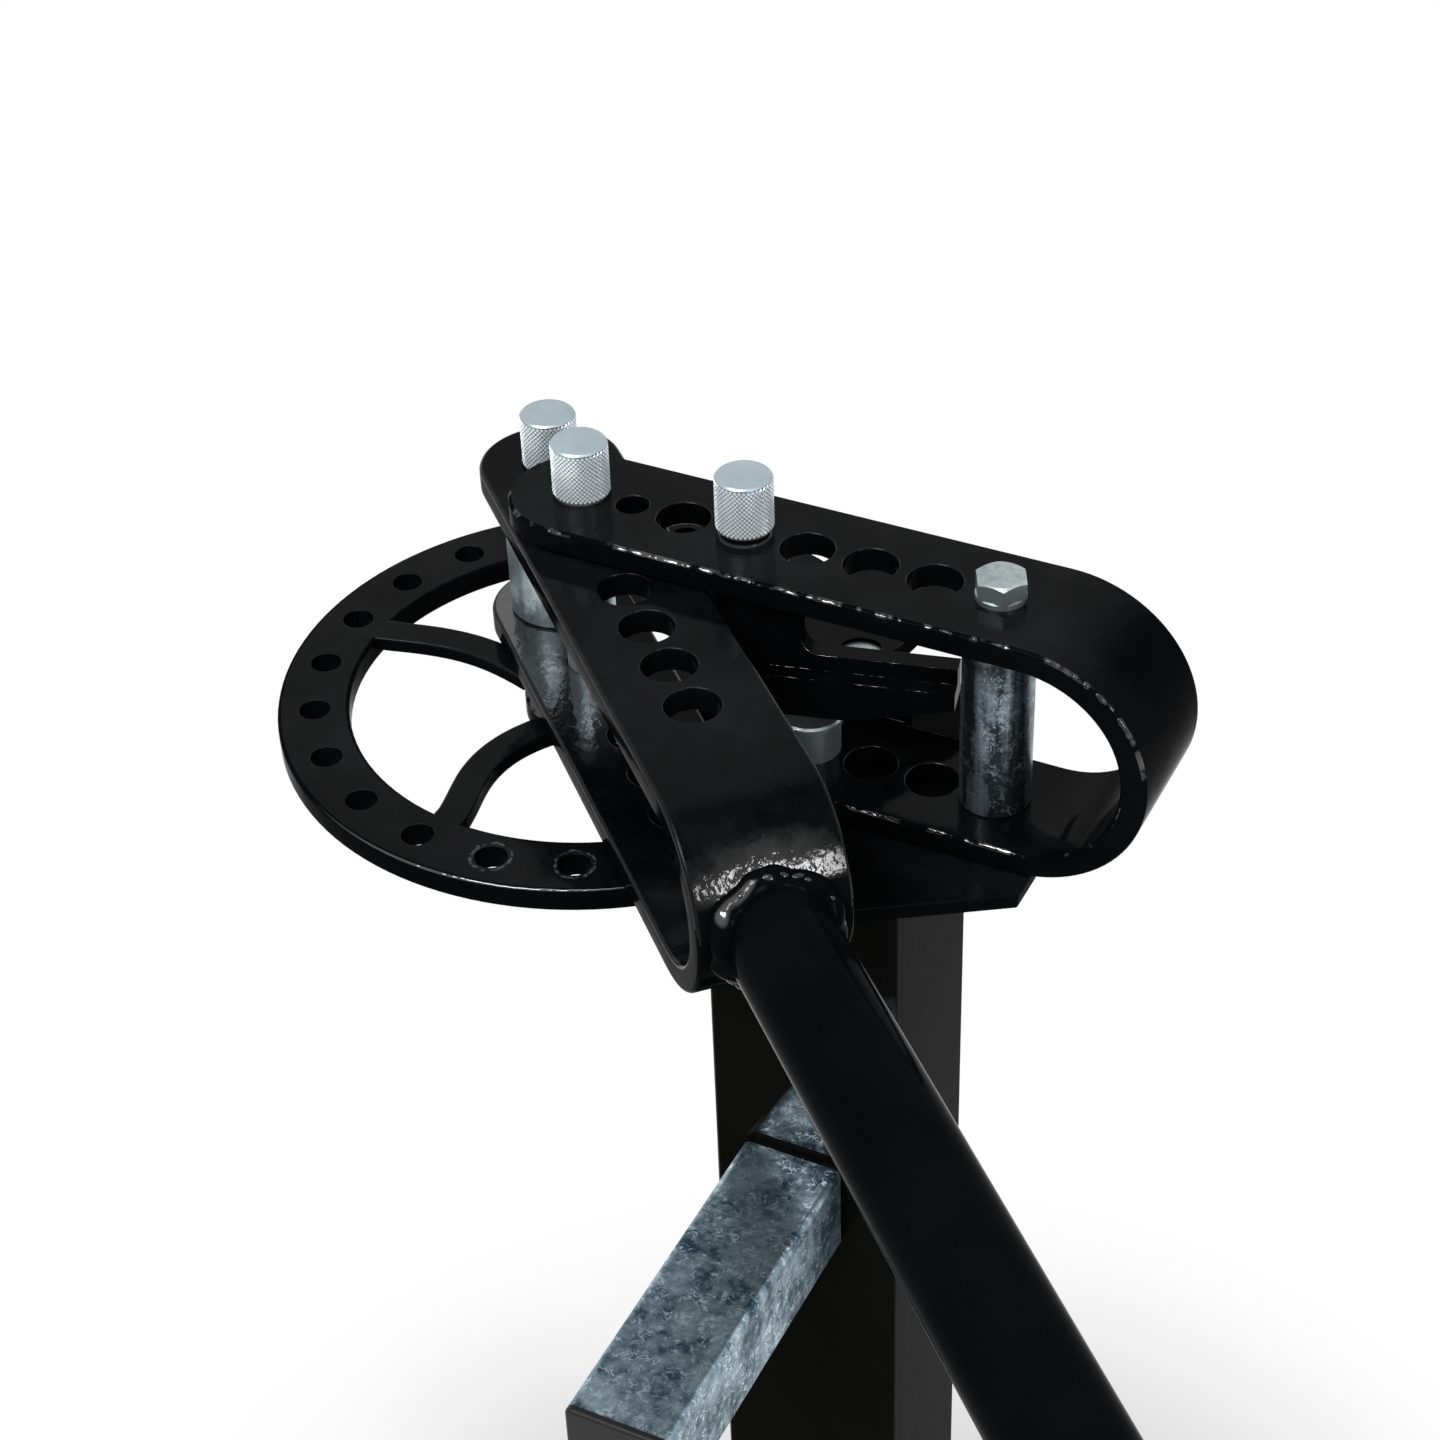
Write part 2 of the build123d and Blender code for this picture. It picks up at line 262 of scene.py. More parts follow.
def close_corner(made, vert, sharp, strip_row):
    """Fills the small gap where three or more rolled strips meet."""
    chains = [strip_row(vert, *edge.link_faces) for edge in vert.link_edges if edge in sharp]
    loop = list(chains.pop())
    while chains:
        for chain in chains:
            if chain[0] is loop[-1] or chain[-1] is loop[-1]:
                chains.remove(chain)
                loop += (chain if chain[0] is loop[-1] else chain[::-1])[1:]
                break
        else:
            return
    made.faces.new(loop[:-1]).material_index = 0


def bevelled_mesh(source, corner, width):
    """A copy of a solid with a fine bevel on its sharp edges, for shapes with narrow steps."""
    mesh = welded_copy(source)
    bmesh.ops.dissolve_limit(mesh, angle_limit=math.radians(SAME_PLANE), verts=mesh.verts, edges=mesh.edges)
    for face in mesh.faces:
        face.material_index = 0
    made = bmesh.ops.bevel(
        mesh, geom=list(sharp_edges(mesh, corner)), offset=width, offset_type="OFFSET", segments=ROLL_STEPS,
        profile=BEVEL_PROFILE, affect="EDGES", clamp_overlap=True, loop_slide=True)
    for face in made["faces"]:
        face.material_index = 1
    return mesh


def painted_copy(name, body, mesh, *materials):
    """Puts a rolled or bevelled copy in a node's place; only the strips that look up show the lit edge."""
    bmesh.ops.recalc_face_normals(mesh, faces=mesh.faces)
    mesh.normal_update()
    for face in mesh.faces:
        if face.material_index == 1 and face.normal.z < LIT_EDGE:
            face.material_index = 0
    piece = new_piece(name + "_rounded", mesh, body, "black_paint", *materials)
    keep_flats_flat(piece)
    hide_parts(name)


def turned_point(place, radius, turn, height):
    return place @ Vector((radius * math.cos(turn), radius * math.sin(turn), height))


def ring_of(mesh, place, radius, height, count):
    """A closed ring of points."""
    step = 2 * math.pi / count
    return [mesh.verts.new(turned_point(place, radius, i * step, height)) for i in range(count)]


def bridge(mesh, rings, material_index=0):
    """Skins a row of closed rings of points."""
    for below, above in zip(rings, rings[1:]):
        count = len(below)
        for i in range(count):
            j = (i + 1) % count
            mesh.faces.new((below[i], below[j], above[j], above[i])).material_index = material_index


def close_ends(mesh, rings, material_index=0):
    """Caps the first and the last ring of a skin."""
    mesh.faces.new(list(reversed(rings[0]))).material_index = material_index
    mesh.faces.new(rings[-1]).material_index = material_index


# Node helpers

FLOAT = "NodeSocketFloat"
COLOUR = "NodeSocketColor"
VECTOR = "NodeSocketVector"
MIX_FIRST, MIX_SECOND, MIX_RESULT = 6, 7, 2


def add(tree, kind, **settings):
    made = tree.nodes.new(kind)
    for key, value in settings.items():
        setattr(made, key, value)
    return made


def wire(tree, source, target):
    tree.links.new(source, target)


def set_values(node, **values):
    """Sets plain values on a node's named inputs, with an underscore for each space in a name."""
    for label, value in values.items():
        node.inputs[label.replace("_", " ")].default_value = value


def feed(tree, value, socket):
    """Wires a socket into another one, or sets a plain value on it."""
    if isinstance(value, bpy.types.NodeSocket):
        wire(tree, value, socket)
    else:
        socket.default_value = value


def math_node(tree, operation, first, second=None, clamp=False):
    made = add(tree, "ShaderNodeMath", operation=operation, use_clamp=clamp)
    feed(tree, first, made.inputs[0])
    if second is not None:
        feed(tree, second, made.inputs[1])
    return made.outputs[0]


def vector_node(tree, operation, first, second):
    made = add(tree, "ShaderNodeVectorMath", operation=operation)
    feed(tree, first, made.inputs[0])
    feed(tree, second, made.inputs[1])
    return made.outputs


def plus(tree, first, second, clamp=False):
    return math_node(tree, "ADD", first, second, clamp)


def minus(tree, first, second, clamp=False):
    return math_node(tree, "SUBTRACT", first, second, clamp)


def greater(tree, first, second):
    return math_node(tree, "MAXIMUM", first, second)


def product(tree, first, *others):
    for other in others:
        first = math_node(tree, "MULTIPLY", first, other)
    return first


def rising(tree, value, start, rate):
    """Zero up to the start, then rising to one."""
    return math_node(tree, "MULTIPLY", minus(tree, value, start), rate, clamp=True)


def falling(tree, value, end, rate):
    """One for low values, falling to zero at the end."""
    return math_node(tree, "MULTIPLY", minus(tree, end, value), rate, clamp=True)


def smooth_range(tree, value, low, high, top=1.0):
    """Zero below the low value, then a smooth rise to the top at the high one."""
    made = add(tree, "ShaderNodeMapRange", interpolation_type="SMOOTHSTEP")
    wire(tree, value, made.inputs["Value"])
    set_values(made, From_Min=low, From_Max=high, To_Max=top)
    return made.outputs[0]


def parts(tree, vector):
    """The X, Y and Z of a vector."""
    split = add(tree, "ShaderNodeSeparateXYZ")
    wire(tree, vector, split.inputs[0])
    return split.outputs


def facing(tree):
    """Normal of the surface in the room, without any bump."""
    return add(tree, "ShaderNodeNewGeometry").outputs["Normal"]


def noise_node(tree, where, scale, detail=2.0, roughness=0.5, distortion=0.0):
    made = add(tree, "ShaderNodeTexNoise")
    wire(tree, where, made.inputs["Vector"])
    feed(tree, scale, made.inputs["Scale"])
    set_values(made, Detail=detail, Roughness=roughness, Distortion=distortion)
    return made.outputs["Fac"]


def mix_colour(tree, factor, first, second):
    made = add(tree, "ShaderNodeMix", data_type="RGBA")
    wire(tree, factor, made.inputs["Factor"])
    for socket, value in ((MIX_FIRST, first), (MIX_SECOND, second)):
        feed(tree, (*value, 1.0) if isinstance(value, tuple) else value, made.inputs[socket])
    return made.outputs[MIX_RESULT]


def bump(tree, height, distance, strength=1.0):
    made = add(tree, "ShaderNodeBump")
    set_values(made, Strength=strength, Distance=distance)
    wire(tree, height, made.inputs["Height"])
    return made.outputs["Normal"]


def start_group(name, inputs, outputs):
    """An empty node group with named sockets: (name, kind, value) for each input."""
    tree = bpy.data.node_groups.new(name, "ShaderNodeTree")
    for label, kind, value in inputs:
        socket = tree.interface.new_socket(label, in_out="INPUT", socket_type=kind)
        if value is not None:
            socket.default_value = value
    for label, kind in outputs:
        tree.interface.new_socket(label, in_out="OUTPUT", socket_type=kind)
    return tree, add(tree, "NodeGroupInput").outputs, add(tree, "NodeGroupOutput").inputs


def use_group(tree, group, place, **values):
    made = add(tree, "ShaderNodeGroup", node_tree=group)
    wire(tree, place, made.inputs["Place"])
    set_values(made, **values)
    return made.outputs


def start_material(name):
    material = bpy.data.materials.new(name)
    material.use_nodes = True
    tree = material.node_tree
    shader = tree.nodes["Principled BSDF"]
    place = add(tree, "ShaderNodeTexCoord").outputs["Object"]
    return material, tree, shader, place


# Effects shared by the materials; each noise is its scale per metre, detail and roughness

PEEL_GRAIN = (420.0, 2.0, 0.45)
PEEL_HEIGHT = 0.22
SLOW_WAVES = (62.0, 1.5, 0.4)
PIT_CELLS = 95.0
PIT_SIZE = 0.085
PIT_DEPTH = 0.5
PIT_AREAS = 21.0
PIT_AREA_START = 0.56


def paint_skin_group():
    """Height of brushed-on and dipped gloss paint: orange peel, slow waves and small pits."""
    tree, given, out = start_group(
        "paint skin",
        [("Place", VECTOR, None), ("Peel", FLOAT, 1.0), ("Waves", FLOAT, 1.0), ("Pits", FLOAT, 1.0)],
        [("Height", FLOAT)])
    place = given["Place"]
    cells = add(tree, "ShaderNodeTexVoronoi", feature="F1")
    wire(tree, place, cells.inputs["Vector"])
    set_values(cells, Scale=PIT_CELLS)
    pit = math_node(tree, "LESS_THAN", cells.outputs["Distance"], PIT_SIZE)
    few = math_node(tree, "GREATER_THAN", noise_node(tree, place, PIT_AREAS), PIT_AREA_START)
    pit = product(tree, pit, few, given["Pits"], PIT_DEPTH)
    peel = product(tree, noise_node(tree, place, *PEEL_GRAIN), given["Peel"], PEEL_HEIGHT)
    waves = product(tree, noise_node(tree, place, *SLOW_WAVES), given["Waves"])
    height = plus(tree, peel, waves)
    wire(tree, minus(tree, height, pit), out["Height"])
    return tree


DUST_CLOUDS = (16.0, 5.0, 0.62)
CLOUD_START = 0.42
DUST_SPECKS = (900.0, 2.0, 0.6)
SPECK_START = 0.62
SPECK_RISE = 3.0
UPWARD_DUST = 0.7
SIDE_DUST = 0.3


def dust_group():
    """Thin dust and handling marks: a mask that gathers on faces that look up."""
    tree, given, out = start_group(
        "dust and hands",
        [("Place", VECTOR, None), ("Amount", FLOAT, 0.2)],
        [("Mask", FLOAT), ("Smear", FLOAT)])
    upward = math_node(tree, "MULTIPLY", parts(tree, facing(tree))["Z"], UPWARD_DUST, clamp=True)
    upward = plus(tree, upward, SIDE_DUST)
    clouds = noise_node(tree, given["Place"], *DUST_CLOUDS)
    specks = noise_node(tree, given["Place"], *DUST_SPECKS)
    specks = product(tree, minus(tree, specks, SPECK_START, clamp=True), SPECK_RISE)
    body = minus(tree, clouds, CLOUD_START, clamp=True)
    mask = product(tree, plus(tree, body, specks), upward)
    wire(tree, math_node(tree, "MULTIPLY", mask, given["Amount"], clamp=True), out["Mask"])
    wire(tree, clouds, out["Smear"])
    return tree


MIDDLE = 0.5
CRYSTAL_DETAIL = (3.0, 0.65)
CRYSTAL_CONTRAST = 2.0
CRYSTAL_HEIGHT = 0.4
ZINC_CLOUDS = (38.0, 4.0, 0.6)
CLOUD_CONTRAST = 2.0
TOOL_LINES = (120.0, 3.0, 0.6)
LINE_CONTRAST = 1.6
FLECK_GRAIN = (520.0, 3.0, 0.7)
FLECK_START = 0.63
FLECK_RISE = 9.0
FLECK_AREA_START = 0.4
FLECK_AREA_RISE = 4.0
STROKE_DETAIL = (1.0, 0.4, 1.5)
STROKE_THIN = 16.0
STROKE_BREAKS = 160.0
STROKE_BREAK_START = 0.45
STROKE_BREAK_RISE = 5.0
ZINC_ROUGHNESS = 0.44
BRIGHT_SMOOTHER = 0.16


def zinc_group():
    """Blue-white plating: clouds, small crystals, tool lines, bright flecks and fine scratches; on the
    turned pillar, darkened and stretched upright, they are a painted reflection of dark studio bands.
    """
    tree, given, out = start_group(
        "zinc plating",
        [("Place", VECTOR, None), ("Crystal Size", FLOAT, 180.0), ("Mottle", FLOAT, 0.5),
         ("Lines", FLOAT, 0.5), ("Line Stretch", VECTOR, (1.0, 1.0, 26.0)), ("Flecks", FLOAT, 0.3),
         ("Scratches", FLOAT, 0.3), ("Stroke Size", FLOAT, 75.0), ("Base Level", FLOAT, 0.0),
         ("Bright", COLOUR, (0.5, 0.56, 0.57, 1.0)), ("Dull", COLOUR, (0.28, 0.33, 0.35, 1.0))],
        [("Colour", COLOUR), ("Roughness", FLOAT), ("Height", FLOAT)])
    place = given["Place"]
    crystals = noise_node(tree, place, given["Crystal Size"], *CRYSTAL_DETAIL)
    crystal = product(tree, minus(tree, crystals, MIDDLE), given["Mottle"])
    clouds = noise_node(tree, place, *ZINC_CLOUDS)
    level = minus(tree, product(tree, clouds, CLOUD_CONTRAST), MIDDLE)
    level = plus(tree, level, product(tree, crystal, CRYSTAL_CONTRAST))
    stretched = vector_node(tree, "MULTIPLY", place, given["Line Stretch"])["Vector"]
    lines = minus(tree, noise_node(tree, stretched, *TOOL_LINES), MIDDLE)
    lines = product(tree, lines, given["Lines"])
    level = plus(tree, level, product(tree, lines, LINE_CONTRAST))
    fleck = minus(tree, noise_node(tree, place, *FLECK_GRAIN), FLECK_START, clamp=True)
    areas = rising(tree, clouds, FLECK_AREA_START, FLECK_AREA_RISE)
    fleck = product(tree, fleck, FLECK_RISE, areas, given["Flecks"])
    swirl = noise_node(tree, place, given["Stroke Size"], *STROKE_DETAIL)
    thin = math_node(tree, "ABSOLUTE", minus(tree, swirl, MIDDLE))
    thin = falling(tree, thin, 1.0 / STROKE_THIN, STROKE_THIN)
    breaks = rising(tree, noise_node(tree, place, STROKE_BREAKS), STROKE_BREAK_START, STROKE_BREAK_RISE)
    scratch = product(tree, thin, breaks, given["Scratches"])
    level = plus(tree, level, given["Base Level"], clamp=True)
    level = plus(tree, level, plus(tree, fleck, scratch), clamp=True)
    wire(tree, mix_colour(tree, level, given["Dull"], given["Bright"]), out["Colour"])
    rough = minus(tree, ZINC_ROUGHNESS, product(tree, level, BRIGHT_SMOOTHER))
    wire(tree, rough, out["Roughness"])
    wire(tree, plus(tree, product(tree, crystals, CRYSTAL_HEIGHT), lines), out["Height"])
    return tree


RIM_WANDER = (210.0, 3.0, 0.6)
RIM_WANDER_REACH = 0.0035
RIM_BREAKS = (330.0, 2.0, 0.6)
RIM_BREAK_START = 0.4
RIM_BREAK_RISE = 5.0
RIM_DEPTH = 0.0009


def rubbed_rim_group():
    """Broken ring of rubbed paint on the face round a hole, with the hole's middle given."""
    tree, given, out = start_group(
        "rubbed rim",
        [("Place", VECTOR, None), ("Centre", VECTOR, None), ("Radius", FLOAT, 0.0095),
         ("Width", FLOAT, 0.001)],
        [("Mask", FLOAT)])
    place = given["Place"]
    away = vector_node(tree, "DISTANCE", place, given["Centre"])["Value"]
    wander = minus(tree, noise_node(tree, place, *RIM_WANDER), MIDDLE)
    line = plus(tree, away, product(tree, wander, RIM_WANDER_REACH))
    off = math_node(tree, "ABSOLUTE", minus(tree, line, given["Radius"]))
    band = minus(tree, 1.0, math_node(tree, "DIVIDE", off, given["Width"]), clamp=True)
    broken = rising(tree, noise_node(tree, place, *RIM_BREAKS), RIM_BREAK_START, RIM_BREAK_RISE)
    from_centre = vector_node(tree, "SUBTRACT", place, given["Centre"])["Vector"]
    on_top = math_node(tree, "GREATER_THAN", parts(tree, from_centre)["Z"], -RIM_DEPTH)
    wire(tree, product(tree, band, broken, on_top), out["Mask"])
    return tree


PAINT_SKIN = paint_skin_group()
DUST = dust_group()
ZINC = zinc_group()
RUBBED_RIM = rubbed_rim_group()


# Clear coats of the black paint

COAT_ROUGHNESS = 0.1
COAT_DEPTH = 0.00022
COAT_TILT = 0.78
COAT_LEVEL = 0.998
WET_IOR = 1.8
WET_DEPTH = 0.0007
WET_RIPPLES = (90.0, 2.0, 0.5)
WET_RIPPLE_HEIGHT = 2.0


def clear_coat(tree, shader, weight, height, depth):
    """Clear coat of the given weight, with its own unevenness."""
    wire(tree, weight, shader.inputs["Coat Weight"])
    set_values(shader, Coat_Roughness=COAT_ROUGHNESS)
    wire(tree, bump(tree, height, depth), shader.inputs["Coat Normal"])


def top_coat(tree, shader, place, weight):
    """Glossy top of the paint on faces that look up."""
    shine = smooth_range(tree, parts(tree, facing(tree))["Z"], COAT_TILT, COAT_LEVEL, weight)
    clear_coat(tree, shader, shine, noise_node(tree, place, *SLOW_WAVES), COAT_DEPTH)


def wet_coat(tree, shader, place, mask):
    """Rippled, wet-looking coat where the mask is one."""
    set_values(shader, Coat_IOR=WET_IOR)
    ripples = product(tree, noise_node(tree, place, *WET_RIPPLES), WET_RIPPLE_HEIGHT)
    clear_coat(tree, shader, mask, ripples, WET_DEPTH)


EDGE_LENGTHS = (75.0, 3.0, 0.6)
EDGE_LENGTH_START = 0.48
EDGE_LENGTH_RISE = 9.0


def edge_gleam(tree, shader, place):
    """Broken lengths of wet-looking paint along a rolled edge."""
    lengths = noise_node(tree, place, *EDGE_LENGTHS)
    wet_coat(tree, shader, place, rising(tree, lengths, EDGE_LENGTH_START, EDGE_LENGTH_RISE))


GLEAM_SIDE = (0.06, -0.71, 0.7)
GLEAM_START = 0.9
GLEAM_FULL = 0.985


def front_gleam(tree, shader, place):
    """Wet-looking paint where a weld or an edge leans towards the front and up."""
    leaning = vector_node(tree, "DOT_PRODUCT", facing(tree), GLEAM_SIDE)["Value"]
    wet_coat(tree, shader, place, smooth_range(tree, leaning, GLEAM_START, GLEAM_FULL))


CORNER_RISE = 8.0
CORNER_COAT = 0.35
POLISH_LEAN = 0.6
POLISH_HALF = 0.029
POLISH_FADE = 130.0
POLISH_RISE = 0.13
POLISH_TOP_FADE = 2.0 / POLISH_RISE
POLISH_ROUGHNESS = 0.04
FRONT_FACING = -0.9


def post_coat(tree, shader, place):
    """A faint line of gloss on the corners of the post, and a patch of full gloss above the rest arm."""
    normal = parts(tree, facing(tree))
    across = math_node(tree, "ABSOLUTE", normal["X"])
    along = math_node(tree, "ABSOLUTE", normal["Y"])
    corner = falling(tree, greater(tree, across, along), 1.0, CORNER_RISE)
    corner = product(tree, corner, CORNER_COAT)
    where = parts(tree, place)
    rise = minus(tree, where["Z"], ARM_TOP)
    aside = minus(tree, where["X"], ARM_X)
    aside = minus(tree, aside, product(tree, rise, POLISH_LEAN))
    beside = falling(tree, math_node(tree, "ABSOLUTE", aside), POLISH_HALF, POLISH_FADE)
    over = rising(tree, rise, 0.0, POLISH_FADE)
    under = falling(tree, rise, POLISH_RISE, POLISH_TOP_FADE)
    front = math_node(tree, "LESS_THAN", normal["Y"], FRONT_FACING)
    polish = product(tree, beside, over, under, front)
    wire(tree, greater(tree, corner, polish), shader.inputs["Coat Weight"])
    set_values(shader, Coat_Roughness=POLISH_ROUGHNESS)


LEVER_COAT = 0.064
BEND_COAT_TILT = 0.95
LOW_ARM_COAT = 14.5
LOW_ARM_RIPPLE = 1.5
ROLLER_REACH = 0.15
ROLLER_FADE = 25.0
ROLLER_SIDE = 0.014
ROLLER_SIDE_FADE = 90.0
FINE_RIPPLES = (150.0, 2.0, 0.5)
SPATTER_HEIGHT = 4.6
WELD_PLACE = LEVER_TURN @ Vector((SWING_BEND + BEND_R, 0.0, SWING_MID))
WELD_REACH = 0.06
WELD_FADE = 3.0 / WELD_REACH
WELD_EDGE = (130.0, 4.0, 0.6)
WELD_RAGGED = 0.02
PATCH_COAT = 0.55
PATCH_TOP = 0.885
PATCH_FOOT = 0.45
PATCH_FADE = 12.0
PATCH_RAGGED = 5.0
PATCH_SIDE = 0.5
PATCH_SIDE_FADE = 2.0


def roller_mirror(tree, place):
    """One on the lower arm of the lever near the roller, which shows in the paint there."""
    lower = math_node(tree, "LESS_THAN", parts(tree, place)["Z"], SWING_MID)
    away = vector_node(tree, "DISTANCE", place, ROLLER_MIDDLE)["Value"]
    across = vector_node(tree, "DOT_PRODUCT", place, LEVER_SIDE)["Value"]
    return product(tree, lower, falling(tree, away, ROLLER_REACH, ROLLER_FADE),
                   falling(tree, across, ROLLER_SIDE, ROLLER_SIDE_FADE))


def weld_patch(tree, place, upward):
    """One on a ragged patch of the bend round the weld, but not on the sides of the bar."""
    away = vector_node(tree, "DISTANCE", place, WELD_PLACE)["Value"]
    ragged = product(tree, noise_node(tree, place, *WELD_EDGE), WELD_RAGGED)
    near = falling(tree, plus(tree, away, ragged), WELD_REACH, WELD_FADE)
    sideways = vector_node(tree, "DOT_PRODUCT", place.node.outputs["Normal"], LEVER_SIDE)["Value"]
    ahead = falling(tree, math_node(tree, "ABSOLUTE", sideways), PATCH_SIDE, PATCH_SIDE_FADE)
    tilt = plus(tree, upward, product(tree, ragged, PATCH_RAGGED))
    below = falling(tree, tilt, PATCH_TOP, PATCH_FADE)
    above = rising(tree, tilt, PATCH_FOOT, PATCH_FADE)
    return product(tree, near, ahead, below, above)


def lever_coat(tree, shader, place):
    """Coat of the lever: rich near the roller, which it mirrors, and spattered round the weld."""
    upward = parts(tree, facing(tree))["Z"]
    mirror = roller_mirror(tree, place)
    patch = weld_patch(tree, place, upward)
    richer = plus(tree, product(tree, mirror, LOW_ARM_COAT), 1.0)
    shine = product(tree, smooth_range(tree, upward, BEND_COAT_TILT, COAT_LEVEL, LEVER_COAT), richer)
    shine = greater(tree, shine, product(tree, patch, PATCH_COAT))
    fine = noise_node(tree, place, *FINE_RIPPLES)
    height = noise_node(tree, place, *SLOW_WAVES)
    height = plus(tree, height, product(tree, fine, LOW_ARM_RIPPLE, mirror))
    height = plus(tree, height, product(tree, fine, SPATTER_HEIGHT, patch))
    set_values(shader, Coat_IOR=WET_IOR)
    clear_coat(tree, shader, shine, height, COAT_DEPTH)


# Materials

BLACK = (0.0016, 0.0018, 0.0022)
POST_BLACK = (0.0036, 0.0035, 0.0031)
DUST_TINT = (0.05, 0.052, 0.056)
DUST_ROUGHER = 0.35
RUBBED = (0.075, 0.079, 0.084)
FACE_GLOSS = 0.003
POST_GLOSS = 0.004
PIPE_GLOSS = 0.004
WELD_GLOSS = 0.006
SOFT_EDGE_GLOSS = 0.12
DROP_GLOSS = 0.5
FACE_COAT = 0.13
PLATE_COAT = 0.04
BASE_COAT = 0.1


def gloss_black(name, peel, waves, pits, depth, dust=0.3, low=0.08, high=0.16, gloss=FACE_GLOSS, top=0.0,
                coat=None, rims=(), black=BLACK):
    """Thick gloss black paint over steel, rubbed grey round the given holes.

    A top weight above zero gives the plain top coat, and coat is a function that makes another one.
    """
    material, tree, shader, place = start_material(name)
    skin = use_group(tree, PAINT_SKIN, place, Peel=peel, Waves=waves, Pits=pits)
    marks = use_group(tree, DUST, place, Amount=dust)
    colour = mix_colour(tree, marks["Mask"], black, DUST_TINT)
    for centre in rims:
        rim = use_group(tree, RUBBED_RIM, place, Centre=centre)
        colour = mix_colour(tree, rim["Mask"], colour, RUBBED)
    wire(tree, colour, shader.inputs["Base Color"])
    rough = plus(tree, product(tree, marks["Smear"], high - low), low)
    rough = plus(tree, rough, product(tree, marks["Mask"], DUST_ROUGHER))
    wire(tree, rough, shader.inputs["Roughness"])
    set_values(shader, Specular_IOR_Level=gloss)
    wire(tree, bump(tree, skin["Height"], depth), shader.inputs["Normal"])
    if top > 0.0:
        top_coat(tree, shader, place, top)
    if coat is not None:
        coat(tree, shader, place)
    return material


def plated(name, crystal, mottle, lines, stretch, flecks, scratches, bright, dull, depth, stroke=75.0,
           base=0.0, metal=0.9):
    """Zinc plating with its own crystal size, tool lines and tone."""
    material, tree, shader, place = start_material(name)
    zinc = use_group(tree, ZINC, place, Crystal_Size=crystal, Mottle=mottle, Lines=lines,
                     Line_Stretch=stretch, Flecks=flecks, Scratches=scratches, Stroke_Size=stroke,
                     Base_Level=base, Bright=(*bright, 1.0), Dull=(*dull, 1.0))
    wire(tree, zinc["Colour"], shader.inputs["Base Color"])
    wire(tree, zinc["Roughness"], shader.inputs["Roughness"])
    set_values(shader, Metallic=metal)
    wire(tree, bump(tree, zinc["Height"], depth), shader.inputs["Normal"])
    return material


MATT_GLOSS = 0.2
MATT_BUMP = 0.6


def matt_black(name, dust, grain, black, dusty, smooth, rougher, depth):
    """Matt black rubber or plastic with a fine grain."""
    material, tree, shader, place = start_material(name)
    marks = use_group(tree, DUST, place, Amount=dust)
    speckle = noise_node(tree, place, *grain)
    wire(tree, mix_colour(tree, marks["Mask"], black, dusty), shader.inputs["Base Color"])
    rough = plus(tree, product(tree, speckle, rougher), smooth)
    wire(tree, rough, shader.inputs["Roughness"])
    set_values(shader, Specular_IOR_Level=MATT_GLOSS)
    wire(tree, bump(tree, speckle, depth, MATT_BUMP), shader.inputs["Normal"])
    return material


def ring_hole(count):
    """Middle of a stop hole of the ring, counted from the far left one towards the front."""
    angle = math.pi + count * RING_STEP
    return (RING_PITCH * math.cos(angle), RING_PITCH * math.sin(angle), RING_TOP)


BAR_SKIN = {"peel": 0.6, "waves": 1.0, "pits": 0.7, "depth": 0.00022}
EDGE_SKIN = {"peel": 0.8, "waves": 2.0, "pits": 0.6, "depth": 0.0006, "dust": 0.08}
POST_SKIN = {"peel": 0.5, "waves": 0.6, "pits": 0.4, "depth": 0.0002, "gloss": POST_GLOSS,
             "black": POST_BLACK}
paint = gloss_black("gloss black paint", top=FACE_COAT, **BAR_SKIN)
plate_paint = gloss_black("black paint on the plate", top=PLATE_COAT, **BAR_SKIN)
ring_paint = gloss_black("black paint on the ring", peel=0.9, waves=1.0, pits=1.0, depth=0.0003,
                         top=FACE_COAT, rims=(ring_hole(6), ring_hole(7)))
lever_paint = gloss_black("black paint on the lever", coat=lever_coat, **BAR_SKIN)
paint_edge = gloss_black("black paint on edges", coat=edge_gleam, **EDGE_SKIN)
ring_edge = gloss_black("black paint on the ring's edges", coat=front_gleam, **EDGE_SKIN)
# This black paint also goes on the pins' necks as painted shadow.
drop_and_shadow_paint = gloss_black("black paint in drops and as painted shadow", peel=0.5, waves=0.5, pits=0.2, depth=0.0002, dust=0.05,
                         gloss=DROP_GLOSS)
soft_edge = gloss_black("black paint on soft edges", peel=0.8, waves=1.6, pits=0.6, depth=0.0004,
                        dust=0.08, low=0.12, high=0.3, gloss=SOFT_EDGE_GLOSS)
base_paint = gloss_black("black paint on the base", top=BASE_COAT, **POST_SKIN)
tube_paint = gloss_black("black paint on the post tube", coat=post_coat, **POST_SKIN)
pipe_paint = gloss_black("black paint on the pipe", peel=0.5, waves=0.5, pits=0.5, depth=0.0002,
                         dust=0.12, gloss=PIPE_GLOSS)
weld_paint = gloss_black("black paint on welds", peel=1.0, waves=1.8, pits=0.4, depth=0.0004, dust=0.05,
                         gloss=WELD_GLOSS, coat=front_gleam)

